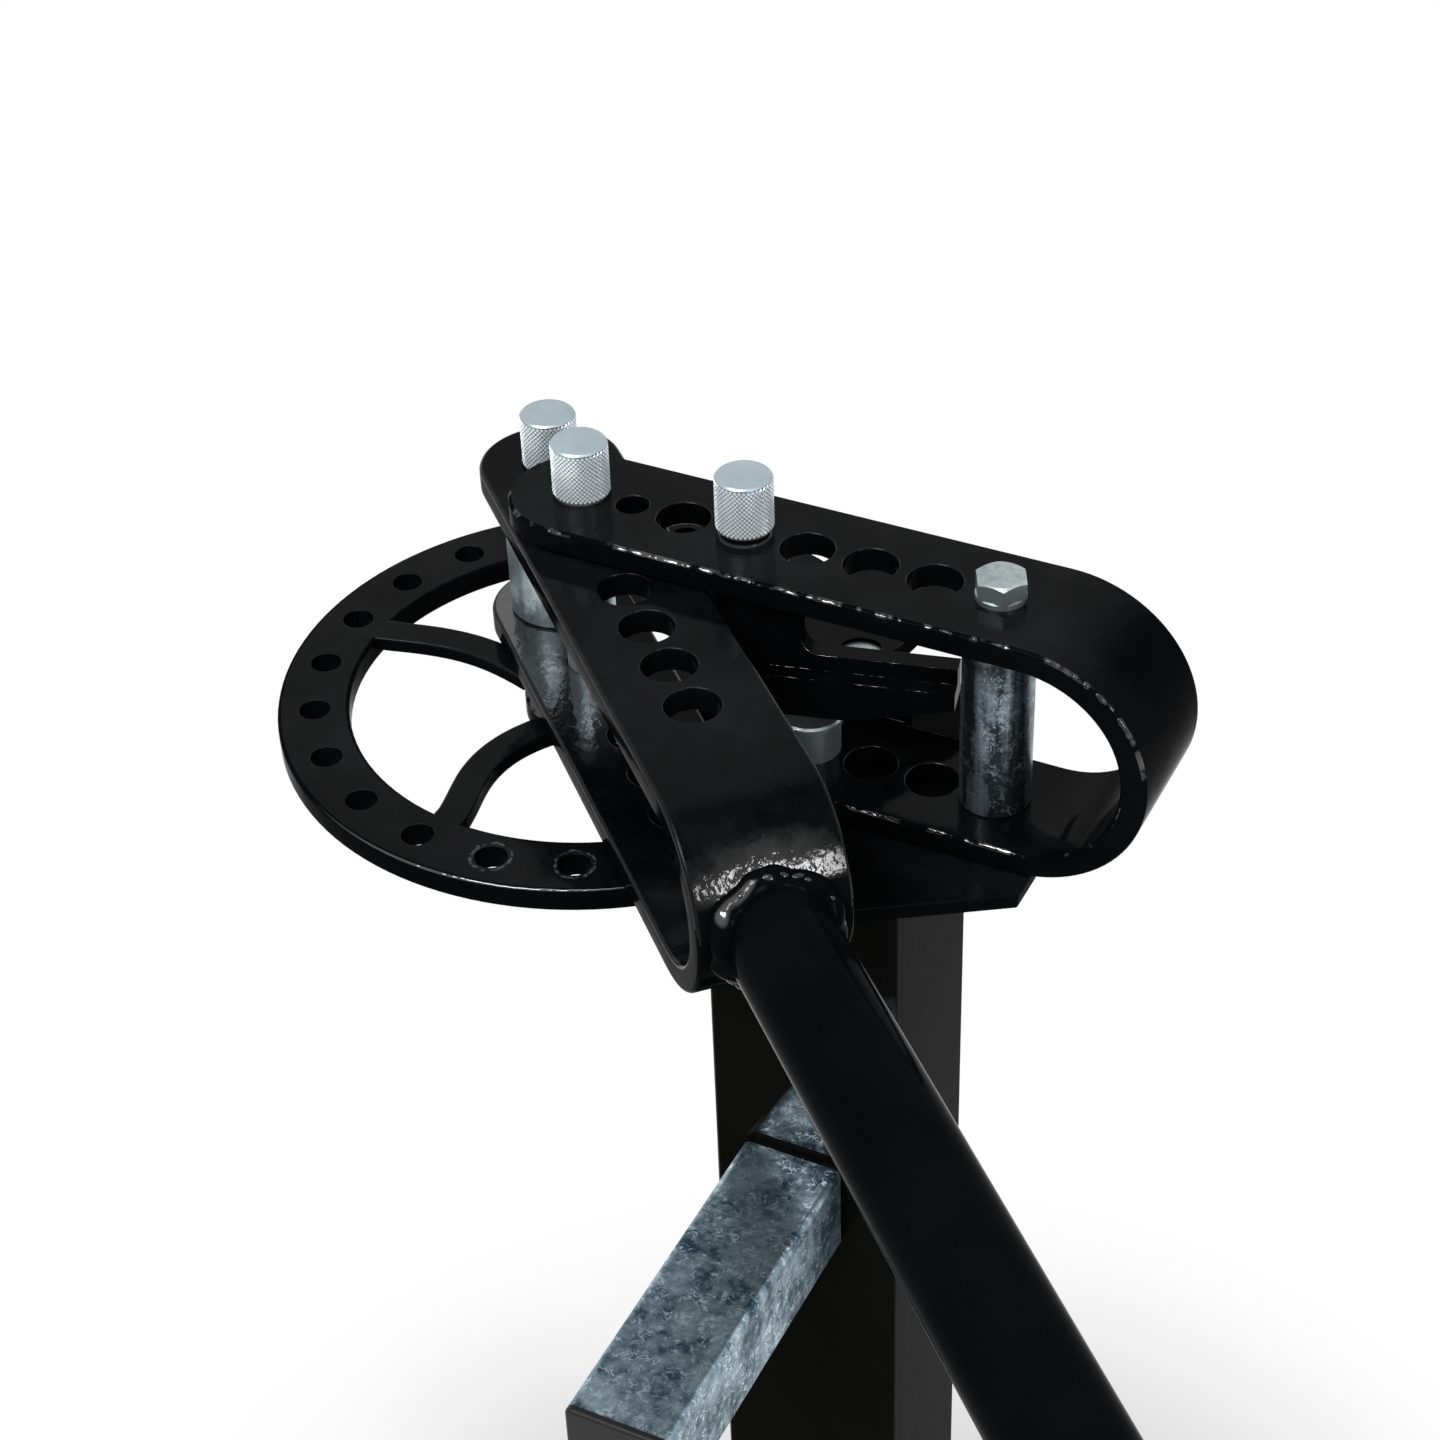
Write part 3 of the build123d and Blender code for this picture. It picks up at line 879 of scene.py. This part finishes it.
RINGS = (1.0, 1.0, 26.0)
UPRIGHT_STRETCH = (1.0, 1.0, 0.04)
PIN_PLATING = {"crystal": 300.0, "lines": 0.0, "stretch": RINGS, "scratches": 0.0, "depth": 0.00004}
# The pillar's zinc is darkened, with upright bands: a painted reflection of a dark studio, not the
# plating's own tone.
pillar_zinc_painted_reflection = plated("turned zinc darkened as painted reflection", crystal=260.0, mottle=0.5, lines=1.7, stretch=UPRIGHT_STRETCH, flecks=2.2,
                     scratches=1.0, bright=(0.28, 0.34, 0.385), dull=(0.018, 0.025, 0.03),
                     depth=0.00012, stroke=220.0, base=-0.4)
zinc_roller = plated("roller zinc", crystal=260.0, mottle=0.4, lines=0.8, stretch=UPRIGHT_STRETCH, flecks=0.8,
                     scratches=0.5, bright=(0.42, 0.49, 0.52), dull=(0.13, 0.16, 0.18),
                     depth=0.00008, stroke=220.0)
# Lit and shaded copies of the pin zinc: the near-white zinc on the knurl's diamond tops is a painted
# highlight, and the darker zinc on the groove walls is painted shade.
knurl_zinc_painted_highlight = plated("knurled zinc painted as highlight", mottle=0.3, flecks=0.3, bright=(0.9, 0.97, 1.0),
                    dull=(0.78, 0.86, 0.9), metal=0.45, **PIN_PLATING)
zinc_pin = plated("smooth zinc of the pins", mottle=0.3, flecks=0.3, bright=(0.41, 0.495, 0.54),
                  dull=(0.31, 0.375, 0.41), **PIN_PLATING)
groove_zinc_painted_shade = plated("zinc in the knurl grooves painted as shade", mottle=0.4, flecks=0.0, bright=(0.4, 0.45, 0.48),
                     dull=(0.26, 0.3, 0.32), **PIN_PLATING)
zinc_sheet = plated("zinc sheet", crystal=210.0, mottle=0.5, lines=0.5, stretch=UPRIGHT_STRETCH, flecks=1.3,
                    scratches=1.15, bright=(0.56, 0.72, 0.81), dull=(0.035, 0.07, 0.1),
                    depth=0.00005, stroke=170.0, base=-0.22)
bolt_zinc = plated("bolt zinc", crystal=260.0, mottle=0.5, lines=0.3, stretch=RINGS, flecks=0.5,
                   scratches=0.4, bright=(0.46, 0.52, 0.53), dull=(0.2, 0.24, 0.25), depth=0.00008)
grip_rubber = matt_black("grip rubber", dust=0.6, grain=(1400.0, 2.0, 0.6), black=(0.008, 0.008, 0.0085),
                         dusty=(0.05, 0.05, 0.048), smooth=0.55, rougher=0.2, depth=0.0002)
plastic = matt_black("plug plastic", dust=0.3, grain=(800.0, 1.0, 0.5), black=(0.009, 0.009, 0.0095),
                     dusty=(0.04, 0.04, 0.04), smooth=0.34, rougher=0.16, depth=0.00012)


# Painted bars and plates: width of the rolled edge, and how far it bows out

SPOKE_BITE = 0.0035
SPOKE_LIFT = 0.00003
ROLLED = (
    ("main_frame", "pedestal", 0.0017, 0.25, paint, paint_edge),
    ("swing_frame", "swing", 0.0018, 0.6, lever_paint, soft_edge),
    ("angle_ring", "pedestal", 0.0018, 0.8, ring_paint, ring_edge),
    ("ring_spokes", "pedestal", 0.0012, 0.8, ring_paint, soft_edge),
    ("base_ribs", "pedestal", 0.0012, 0.8, base_paint, soft_edge),
)
BEVELLED = (
    ("former_shoe", SHOE_SHARP, 0.0014, paint, paint_edge),
    ("top_plate", SHARP, 0.0012, plate_paint, plate_paint),
    ("base_plate", SHARP, 0.0015, base_paint, soft_edge),
)


def spokes_into_ring(data):
    """Copy of the spokes whose outer ends run on into the ring, so that the paint hides the seam."""
    grown = data.copy()
    reach = max(math.hypot(vert.co.x, vert.co.y) for vert in grown.vertices)
    for vert in grown.vertices:
        vert.co.z += SPOKE_LIFT
        radius = math.hypot(vert.co.x, vert.co.y)
        if radius > reach - SPOKE_BITE / 2:
            vert.co.x *= (radius + SPOKE_BITE) / radius
            vert.co.y *= (radius + SPOKE_BITE) / radius
    return grown


for name, body, width, bow, material, edge_material in ROLLED:
    source = nodes[name].data
    if name == "ring_spokes":
        source = spokes_into_ring(source)
    hole_share = RING_HOLE_SHARE if name == "angle_ring" else HOLE_SHARE
    rolled = rolled_mesh(source, SHARP, width, bow, hole_share)
    painted_copy(name, body, rolled, material, edge_material, soft_edge)

for name, corner, width, material, edge_material in BEVELLED:
    painted_copy(name, "pedestal", bevelled_mesh(nodes[name].data, corner, width), material, edge_material)


# Solids that keep their shape and only get a finish

FINISHES = (
    (tube_paint, ("post",)),
    (pipe_paint, ("handle_pipe",)),
    (paint, ("arm_foot",)),
    (pillar_zinc_painted_reflection, ("frame_spacer",)),
    (zinc_roller, ("bending_roller", "thrust_washers")),
    (bolt_zinc, ("frame_bolt", "bolt_washers", "frame_nut", "stub_pin", "shoe_plug")),
    (zinc_sheet, ("rest_arm",)),
    (plastic, ("arm_plug",)),
)
for material, names in FINISHES:
    for name in names:
        nodes[name].data.materials.clear()
        nodes[name].data.materials.append(material)


# Loose pins with diamond-knurled heads

HEAD_R = 0.01375
HEAD_H = 0.028
PIN_R = 0.01265
TIP_CHAMFER = 0.002
KNURL_DEPTH = 0.0004
KNURL_COUNT = 40
KNURL_STEP = 0.00118
KNURL_BAND = 0.0011
DIAMOND_SHARE = 0.76
ROOT_R = HEAD_R - KNURL_DEPTH
NECK_GAP = 0.001
NECK_RING = ((0.0013, 0.0), (0.0011, 0.0003), (0.0013, 0.0006))
NECK_RING_TOP = 0.0007
NECK_UNDERCUT = 0.0006
NECK_CLEAR = 0.0002
FOOT_CHAMFER = 0.0007
FOOT_RISE = 0.0006
CROWN = ((0.0, 0.001), (0.0002, 0.0007), (0.0008, 0.0001), (0.0012, 0.0))
PIN_CREASE = 24
# Slots of a pin: painted highlight zinc on the diamond tops, painted shade zinc on the groove walls, plain
# zinc, and black paint on the neck.
HIGHLIGHT_TOP, SHADED_WALL, SMOOTH, SHADOW_PAINT = range(4)


def diamond(mesh, place, corners, middle):
    """One raised diamond: a top of painted highlight zinc inside four groove walls of painted shade zinc,
    its corners as (turn, height, vertex).
    """
    raised = []
    for turn, height, corner in corners:
        inner_turn = middle[0] + (turn - middle[0]) * DIAMOND_SHARE
        inner_height = middle[1] + (height - middle[1]) * DIAMOND_SHARE
        raised.append(mesh.verts.new(turned_point(place, HEAD_R, inner_turn, inner_height)))
    mesh.faces.new(raised).material_index = HIGHLIGHT_TOP
    for i in range(4):
        j = (i + 1) % 4
        wall = (corners[i][2], corners[j][2], raised[j], raised[i])
        mesh.faces.new(wall).material_index = SHADED_WALL


def knurl_band(mesh, place, low, high):
    """Rows of diamonds round the head; gives back the bottom and top rings of points."""
    rows = 2 * round((high - low) / KNURL_STEP / 2)
    half_turn = math.pi / KNURL_COUNT
    heights = [low + (high - low) * row / rows for row in range(rows + 1)]
    crossings = []
    for row, height in enumerate(heights):
        turns = [(2 * i + row % 2) * half_turn for i in range(KNURL_COUNT)]
        crossings.append([mesh.verts.new(turned_point(place, ROOT_R, turn, height)) for turn in turns])
    for row in range(rows + 1):
        shift = (row + 1) % 2
        for i in range(KNURL_COUNT):
            column = 2 * i + shift
            left = (column - 1) // 2 % KNURL_COUNT
            right = (left + 1) % KNURL_COUNT
            beside = crossings[row]
            if row == 0 or row == rows:
                tip = crossings[1 if row == 0 else rows - 1][column // 2 % KNURL_COUNT]
                mesh.faces.new((beside[left], beside[right], tip)).material_index = SHADED_WALL
                continue
            lower = crossings[row - 1][column // 2 % KNURL_COUNT]
            upper = crossings[row + 1][column // 2 % KNURL_COUNT]
            corners = [((column - 1) * half_turn, heights[row], beside[left]),
                       (column * half_turn, heights[row - 1], lower),
                       ((column + 1) * half_turn, heights[row], beside[right]),
                       (column * half_turn, heights[row + 1], upper)]
            diamond(mesh, place, corners, (column * half_turn, heights[row]))
    return crossings[0], crossings[rows]


def knurled_pin(name, seat):
    """Pin with a smooth shaft and chamfered tip under a diamond-knurled head; the neck under the head is
    black paint, a painted shadow in the gap over the seat.
    """
    low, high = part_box(name)
    centre = node_centre(name)
    place = Matrix.Translation((centre.x, centre.y, 0.0))
    mesh = bmesh.new()
    head_low = high.z - HEAD_H
    shaft = [(PIN_R - TIP_CHAMFER, low.z), (PIN_R, low.z + TIP_CHAMFER), (PIN_R, seat)]
    neck = [(PIN_R, head_low)]
    if head_low > seat + NECK_GAP:
        neck = [(HEAD_R - inset, seat + rise) for inset, rise in NECK_RING]
        neck += [(PIN_R - NECK_UNDERCUT, seat + NECK_RING_TOP),
                 (PIN_R - NECK_UNDERCUT, head_low - NECK_CLEAR), (PIN_R, head_low)]
    foot = [(ROOT_R - FOOT_CHAMFER, head_low), (ROOT_R, head_low + FOOT_RISE)]
    crown = [(ROOT_R - inset, high.z - drop) for inset, drop in CROWN]

    def rings(profile):
        return [ring_of(mesh, place, radius, height, KNURL_COUNT) for radius, height in profile]

    shaft_rings = rings(shaft)
    neck_rings = rings(neck)
    foot_rings = rings(foot)
    first, last = knurl_band(mesh, place, head_low + KNURL_BAND, high.z - KNURL_BAND)
    crown_rings = rings(crown)
    bridge(mesh, shaft_rings, SMOOTH)
    # Black paint on the neck stands for the shadow in the gap under the head: painted shadow.
    bridge(mesh, shaft_rings[-1:] + neck_rings + foot_rings[:1], SHADOW_PAINT)
    bridge(mesh, foot_rings + [first], SHADED_WALL)
    bridge(mesh, [last] + crown_rings, SMOOTH)
    close_ends(mesh, shaft_rings + crown_rings, SMOOTH)
    piece = new_piece(name + "_knurled", mesh, name, "zinc", knurl_zinc_painted_highlight, groove_zinc_painted_shade, zinc_pin, drop_and_shadow_paint)
    split_corners(piece, "crisp corners", PIN_CREASE)
    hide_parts(name)


for name, seat in (("pivot_pin", TOP), ("fixed_pin", TOP), ("roller_pin", SWING_TOP)):
    knurled_pin(name, seat)


# Weld beads

RIPPLE_STEPS = 12.0
RIPPLE_SHARE = 0.25
LUMP_SCALE = 85.0
LUMP_SHIFT = 50
LEVER_BEAD_STEPS = 96
LEVER_BEAD_SIDES = 18
LEVER_BEAD_R = 0.0062
LEVER_BEAD_LUMP = 0.7
LEVER_BEAD_LEAN = 0.7
POST_BEAD_STEPS = 36
POST_BEAD_SIDES = 10
POST_BEAD_R = 0.0042
POST_BEAD_LUMP = 0.4


def lumpy_bead(mesh, points, normals, sides, radius, lump, seed):
    """A weld bead: a closed tube along the points, swollen and pinched in overlapping ripples."""
    draw = random.Random(seed)
    offset = Vector([draw.uniform(0, LUMP_SHIFT) for _ in range(3)])
    rings = []
    count = len(points)
    for i in range(count):
        along = (points[(i + 1) % count] - points[i - 1]).normalized()
        out = normals[i].normalized()
        side = along.cross(out).normalized()
        ripple = 0.5 + 0.5 * math.sin(i * 2 * math.pi / RIPPLE_STEPS)
        ring = []
        for k in range(sides):
            angle = 2 * math.pi * k / sides
            direction = out * math.cos(angle) + side * math.sin(angle)
            swell = noise.noise((points[i] + direction * radius) * LUMP_SCALE + offset)
            swollen = (1.0 - RIPPLE_SHARE) * swell + RIPPLE_SHARE * ripple
            ring.append(mesh.verts.new(points[i] + direction * (radius * (1.0 + lump * swollen))))
        rings.append(ring)
    bridge(mesh, rings + rings[:1])


def saddle_point(y, z):
    """Point where the pipe meets the bend of the lever, before the lever is turned."""
    return Vector((SWING_BEND + math.sqrt(BEND_R ** 2 - z ** 2), y, SWING_MID + z))


def lever_weld():
    """Heavy bead on the saddle line where the pipe meets the bend of the lever."""
    mesh = bmesh.new()
    points = []
    normals = []
    for i in range(LEVER_BEAD_STEPS):
        angle = 2 * math.pi * i / LEVER_BEAD_STEPS
        points.append(LEVER_TURN @ saddle_point(PIPE_R * math.cos(angle), PIPE_R * math.sin(angle)))
        out = Vector((LEVER_BEAD_LEAN, math.cos(angle), math.sin(angle)))
        normals.append(LEVER_TURN.to_3x3() @ out)
    lumpy_bead(mesh, points, normals, LEVER_BEAD_SIDES, LEVER_BEAD_R, LEVER_BEAD_LUMP, seed=7)
    piece = new_piece("lever_weld_bead", mesh, "swing", "black_paint", weld_paint)
    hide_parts("handle_weld")


def post_weld(name, height, seed):
    """Bead round the post where it stands on or carries a plate."""
    outline = ((POST_LOW.x, POST_LOW.y), (POST_HIGH.x, POST_LOW.y),
               (POST_HIGH.x, POST_HIGH.y), (POST_LOW.x, POST_HIGH.y))
    corners = [Vector((x, y, height)) for x, y in outline]
    middle = Vector((POST_X, POST_Y, height))
    points = []
    for start, end in zip(corners, corners[1:] + corners[:1]):
        points += [start.lerp(end, i / POST_BEAD_STEPS) for i in range(POST_BEAD_STEPS)]
    normals = [point - middle for point in points]
    mesh = bmesh.new()
    lumpy_bead(mesh, points, normals, POST_BEAD_SIDES, POST_BEAD_R, POST_BEAD_LUMP, seed)
    new_piece(name, mesh, "pedestal", "black_paint", weld_paint)


lever_weld()
post_weld("post_weld_low", BASE_TOP, 11)
post_weld("post_weld_high", PLATE_BOTTOM, 12)


# Drops of thick paint that hang on the edges; sizes are ranges of length, width and height

DROP_RINGS = 9
DROP_SIDES = 12
DROP_INSET = 0.0009
EDGE_DROPS = (0.104, 0.122, 0.139, 0.158, 0.176, 0.197, 0.214, 0.228)
EDGE_DROP_SHIFT = 0.004
EDGE_DROP_OUT = Vector((0.0, -0.7, 0.7))
EDGE_DROP_SIZES = ((0.003, 0.008), (0.0016, 0.0026), (0.0008, 0.0013))
BEND_DROPS = (76.0, 66.0, 57.0, 49.0, 40.0, 33.0)
BEND_DROP_SHIFT = 3
BEND_DROP_SIZES = ((0.003, 0.009), (0.0018, 0.003), (0.0009, 0.0014))
WELD_DROPS = 26
WELD_DROP_OUT = 0.0046
WELD_DROP_SHIFT = 0.3
WELD_DROP_LEAN = (0.5, 1.1)
WELD_DROP_SLANT = 0.4
WELD_DROP_SIZES = ((0.004, 0.008), (0.0028, 0.0045), (0.0012, 0.002))


def paint_drop(mesh, draw, place, along, out, sizes):
    """A smooth half-egg of paint that lies on a surface or an edge."""
    length, width, height = [draw.uniform(*span) for span in sizes]
    across = along.cross(out).normalized()
    rings = []
    for i in range(1, DROP_RINGS):
        angle = math.pi * i / DROP_RINGS
        reach = math.sin(angle)
        middle = place - along * (length / 2 * math.cos(angle))
        ring = []
        for k in range(DROP_SIDES):
            turn = 2 * math.pi * k / DROP_SIDES
            ring.append(mesh.verts.new(middle + across * (width / 2 * reach * math.cos(turn))
                                       + out * (height * reach * math.sin(turn))))
        rings.append(ring)
    bridge(mesh, rings)
    close_ends(mesh, rings)


def edge_paint_drops():
    """Drops along the front edge of the fixed frame and round its bend."""
    draw = random.Random(21)
    mesh = bmesh.new()
    bend_r = (TOP - LOW_BOTTOM) / 2
    front = FRAME_LOW.y + DROP_INSET
    middle = Vector((FRAME_HIGH.x - bend_r, front, (TOP + LOW_BOTTOM) / 2))
    for x in EDGE_DROPS:
        shift = draw.uniform(-EDGE_DROP_SHIFT, EDGE_DROP_SHIFT)
        place = Vector((x + shift, front, TOP - DROP_INSET))
        paint_drop(mesh, draw, place, Vector((1.0, 0.0, 0.0)), EDGE_DROP_OUT, EDGE_DROP_SIZES)
    for degrees in BEND_DROPS:
        angle = math.radians(degrees + draw.uniform(-BEND_DROP_SHIFT, BEND_DROP_SHIFT))
        outward = Vector((math.cos(angle), 0.0, math.sin(angle)))
        along = Vector((-math.sin(angle), 0.0, math.cos(angle)))
        out = (outward + Vector((0.0, -1.0, 0.0))).normalized()
        paint_drop(mesh, draw, middle + outward * (bend_r - DROP_INSET), along, out, BEND_DROP_SIZES)
    new_piece("edge_paint_drops", mesh, "pedestal", "black_paint", drop_and_shadow_paint)


def weld_paint_drops():
    """Glossy beads of paint on the ripples of the lever weld."""
    draw = random.Random(33)
    mesh = bmesh.new()
    turn = LEVER_TURN.to_3x3()
    for i in range(WELD_DROPS):
        shift = draw.uniform(-WELD_DROP_SHIFT, WELD_DROP_SHIFT)
        angle = 2 * math.pi * (i + shift) / WELD_DROPS
        y = math.cos(angle)
        z = math.sin(angle)
        out = Vector((draw.uniform(*WELD_DROP_LEAN), y, z)).normalized()
        place = saddle_point(PIPE_R * y, PIPE_R * z) + out * WELD_DROP_OUT
        along = Vector((draw.uniform(-WELD_DROP_SLANT, WELD_DROP_SLANT), -z, y))
        along = (along - out * along.dot(out)).normalized()
        paint_drop(mesh, draw, LEVER_TURN @ place, turn @ along, turn @ out, WELD_DROP_SIZES)
    new_piece("weld_paint_drops", mesh, "swing", "black_paint", drop_and_shadow_paint)


edge_paint_drops()
weld_paint_drops()


# Ribbed rubber grip on the end of the lever

GRIP_R = 0.02715
GRIP_LENGTH = 0.154
GRIP_OVERLAP = 0.15
GRIP_STEPS = 72
GRIP_GAP = 0.0002
GRIP_COLLAR = ((-0.0006, 0.0), (0.0, 0.0008), (0.0, 0.008))
GRIP_END = ((0.0, 0.006), (-0.0015, 0.002), (-0.006, 0.0))
GRIP_TIP_R = 0.004
GRIP_RIBS = 18
RIBS_START = 0.01
RIBS_SHORTER = 0.03
RIB_PROFILE = ((-0.0014, 0.0), (-0.0014, 0.3), (0.0, 0.42), (0.0, 0.9))
GRIP_CREASE = 40


def ribbed_grip():
    """Grip turned from a profile of collar, ribs and rounded end, measured from the grip's radius."""
    start = SWING_BEND + BEND_R + PIPE_LENGTH - GRIP_OVERLAP
    turn = LEVER_TURN @ Matrix.Translation((start, 0, SWING_MID)) @ Matrix.Rotation(math.pi / 2, 4, "Y")
    profile = [(PIPE_R + GRIP_GAP, 0.0)]
    profile += [(GRIP_R + out, along) for out, along in GRIP_COLLAR]
    pitch = (GRIP_LENGTH - RIBS_SHORTER) / GRIP_RIBS
    for rib in range(GRIP_RIBS):
        base = RIBS_START + rib * pitch
        profile += [(GRIP_R + out, base + share * pitch) for out, share in RIB_PROFILE]
    profile += [(GRIP_R + out, GRIP_LENGTH - back) for out, back in GRIP_END]
    profile.append((GRIP_TIP_R, GRIP_LENGTH))
    mesh = bmesh.new()
    rings = [ring_of(mesh, turn, radius, along, GRIP_STEPS) for radius, along in profile]
    bridge(mesh, rings)
    close_ends(mesh, rings)
    piece = new_piece("ribbed_grip", mesh, "swing", "grip_rubber", grip_rubber)
    split_corners(piece, "crisp ribs", GRIP_CREASE)
    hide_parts("handle_grip")


ribbed_grip()


# Studio: pale floor, soft lamps, white surroundings

FLOOR_R = 14.0
FLOOR_STEPS = 96
FLOOR_DROP = 0.0004
FLOOR_GRAIN = (3.0, 3.0, 0.5)
FLOOR_TONES = ((0.86, 0.86, 0.86), (0.9, 0.9, 0.9))
FLOOR_ROUGHNESS = 0.8
FLOOR_GLOSS = 0.1
FADE_NEAR = 0.25
FADE_FAR = 0.6
AMBIENT = 0.4
HEAD = Vector((0.08, 0.0, 0.95))


def seen_directly(tree):
    """One for rays that show the surroundings as they are: to the camera, in gloss and through glass."""
    path = add(tree, "ShaderNodeLightPath").outputs
    both = greater(tree, path["Is Camera Ray"], path["Is Glossy Ray"])
    return greater(tree, both, path["Is Transmission Ray"])


def studio_floor():
    """Pale floor that takes the shadow near the machine and fades to white further out."""
    mesh = bmesh.new()
    bmesh.ops.create_circle(mesh, cap_ends=True, radius=FLOOR_R, segments=FLOOR_STEPS)
    data = bpy.data.meshes.new("studio_floor")
    mesh.to_mesh(data)
    mesh.free()
    floor = bpy.data.objects.new("studio_floor", data)
    floor.location = (POST_X, 0.0, -FLOOR_DROP)
    bpy.context.scene.collection.objects.link(floor)
    material, tree, shader, place = start_material("studio floor")
    tone = mix_colour(tree, noise_node(tree, place, *FLOOR_GRAIN), *FLOOR_TONES)
    wire(tree, tone, shader.inputs["Base Color"])
    set_values(shader, Roughness=FLOOR_ROUGHNESS, Specular_IOR_Level=FLOOR_GLOSS)
    glow = add(tree, "ShaderNodeEmission")
    set_values(glow, Strength=1.0)
    reach = add(tree, "ShaderNodeVectorMath", operation="LENGTH")
    wire(tree, place, reach.inputs[0])
    fade = smooth_range(tree, reach.outputs["Value"], FADE_NEAR, FADE_FAR)
    blend = add(tree, "ShaderNodeMixShader")
    wire(tree, product(tree, fade, seen_directly(tree)), blend.inputs[0])
    wire(tree, shader.outputs[0], blend.inputs[1])
    wire(tree, glow.outputs[0], blend.inputs[2])
    wire(tree, blend.outputs[0], tree.nodes["Material Output"].inputs["Surface"])
    data.materials.append(material)


def studio_world():
    """White to the eye and in gloss, dimmer as a light."""
    world = bpy.data.worlds.new("studio")
    world.use_nodes = True
    bpy.context.scene.world = world
    tree = world.node_tree
    sky = tree.nodes["Background"]
    set_values(sky, Color=(1.0, 1.0, 1.0, 1.0))
    level = product(tree, seen_directly(tree), 1.0 - AMBIENT)
    wire(tree, plus(tree, level, AMBIENT), sky.inputs["Strength"])


def soft_lamp(name, direction, distance, width, height, power):
    """A softbox that looks at the head of the machine from the given direction."""
    data = bpy.data.lights.new(name, "AREA")
    data.shape = "RECTANGLE"
    data.size = width
    data.size_y = height
    data.energy = power
    lamp = bpy.data.objects.new(name, data)
    towards = Vector(direction).normalized()
    lamp.location = HEAD + towards * distance
    lamp.rotation_mode = "QUATERNION"
    lamp.rotation_quaternion = towards.to_track_quat("Z", "Y")
    bpy.context.scene.collection.objects.link(lamp)


def photo_camera():
    """Camera at the place and angle fitted to the photograph."""
    right = Vector((math.cos(YAW), -math.sin(YAW), 0.0))
    forward = Vector((math.cos(PITCH) * math.sin(YAW), math.cos(PITCH) * math.cos(YAW), -math.sin(PITCH)))
    up = Vector((math.sin(PITCH) * math.sin(YAW), math.sin(PITCH) * math.cos(YAW), math.cos(PITCH)))
    rolled_right = right * math.cos(ROLL) - up * math.sin(ROLL)
    rolled_up = right * math.sin(ROLL) + up * math.cos(ROLL)
    across, upward, ahead = PIVOT_FROM_CAMERA
    centre = Vector((0, 0, TOP)) - rolled_right * across - rolled_up * upward - forward * ahead
    data = bpy.data.cameras.new("photo camera")
    data.sensor_fit = "HORIZONTAL"
    data.sensor_width = SENSOR_MM
    data.lens = FOCAL_PX * SENSOR_MM / IMAGE_PX
    data.shift_x = (IMAGE_PX / 2 - AXIS_PX[0]) / IMAGE_PX
    data.shift_y = (AXIS_PX[1] - IMAGE_PX / 2) / IMAGE_PX
    data.clip_start = CLIP_NEAR
    data.clip_end = CLIP_FAR
    camera = bpy.data.objects.new("photo camera", data)
    turn = Matrix((rolled_right, rolled_up, -forward)).transposed().to_4x4()
    camera.matrix_world = Matrix.Translation(centre) @ turn
    bpy.context.scene.collection.objects.link(camera)
    bpy.context.scene.camera = camera


studio_floor()
studio_world()
soft_lamp("front softbox", (-0.14, -0.65, 0.715), distance=2.6, width=1.3, height=0.5, power=50.0)
soft_lamp("right strip", (0.82, -0.43, 0.35), distance=2.3, width=0.35, height=0.8, power=18.0)
soft_lamp("overhead softbox", (0.1, -0.25, 0.96), distance=2.2, width=0.9, height=0.9, power=14.0)
photo_camera()
bpy.context.scene.view_settings.view_transform = "Standard"

bpy.context.view_layer.update()
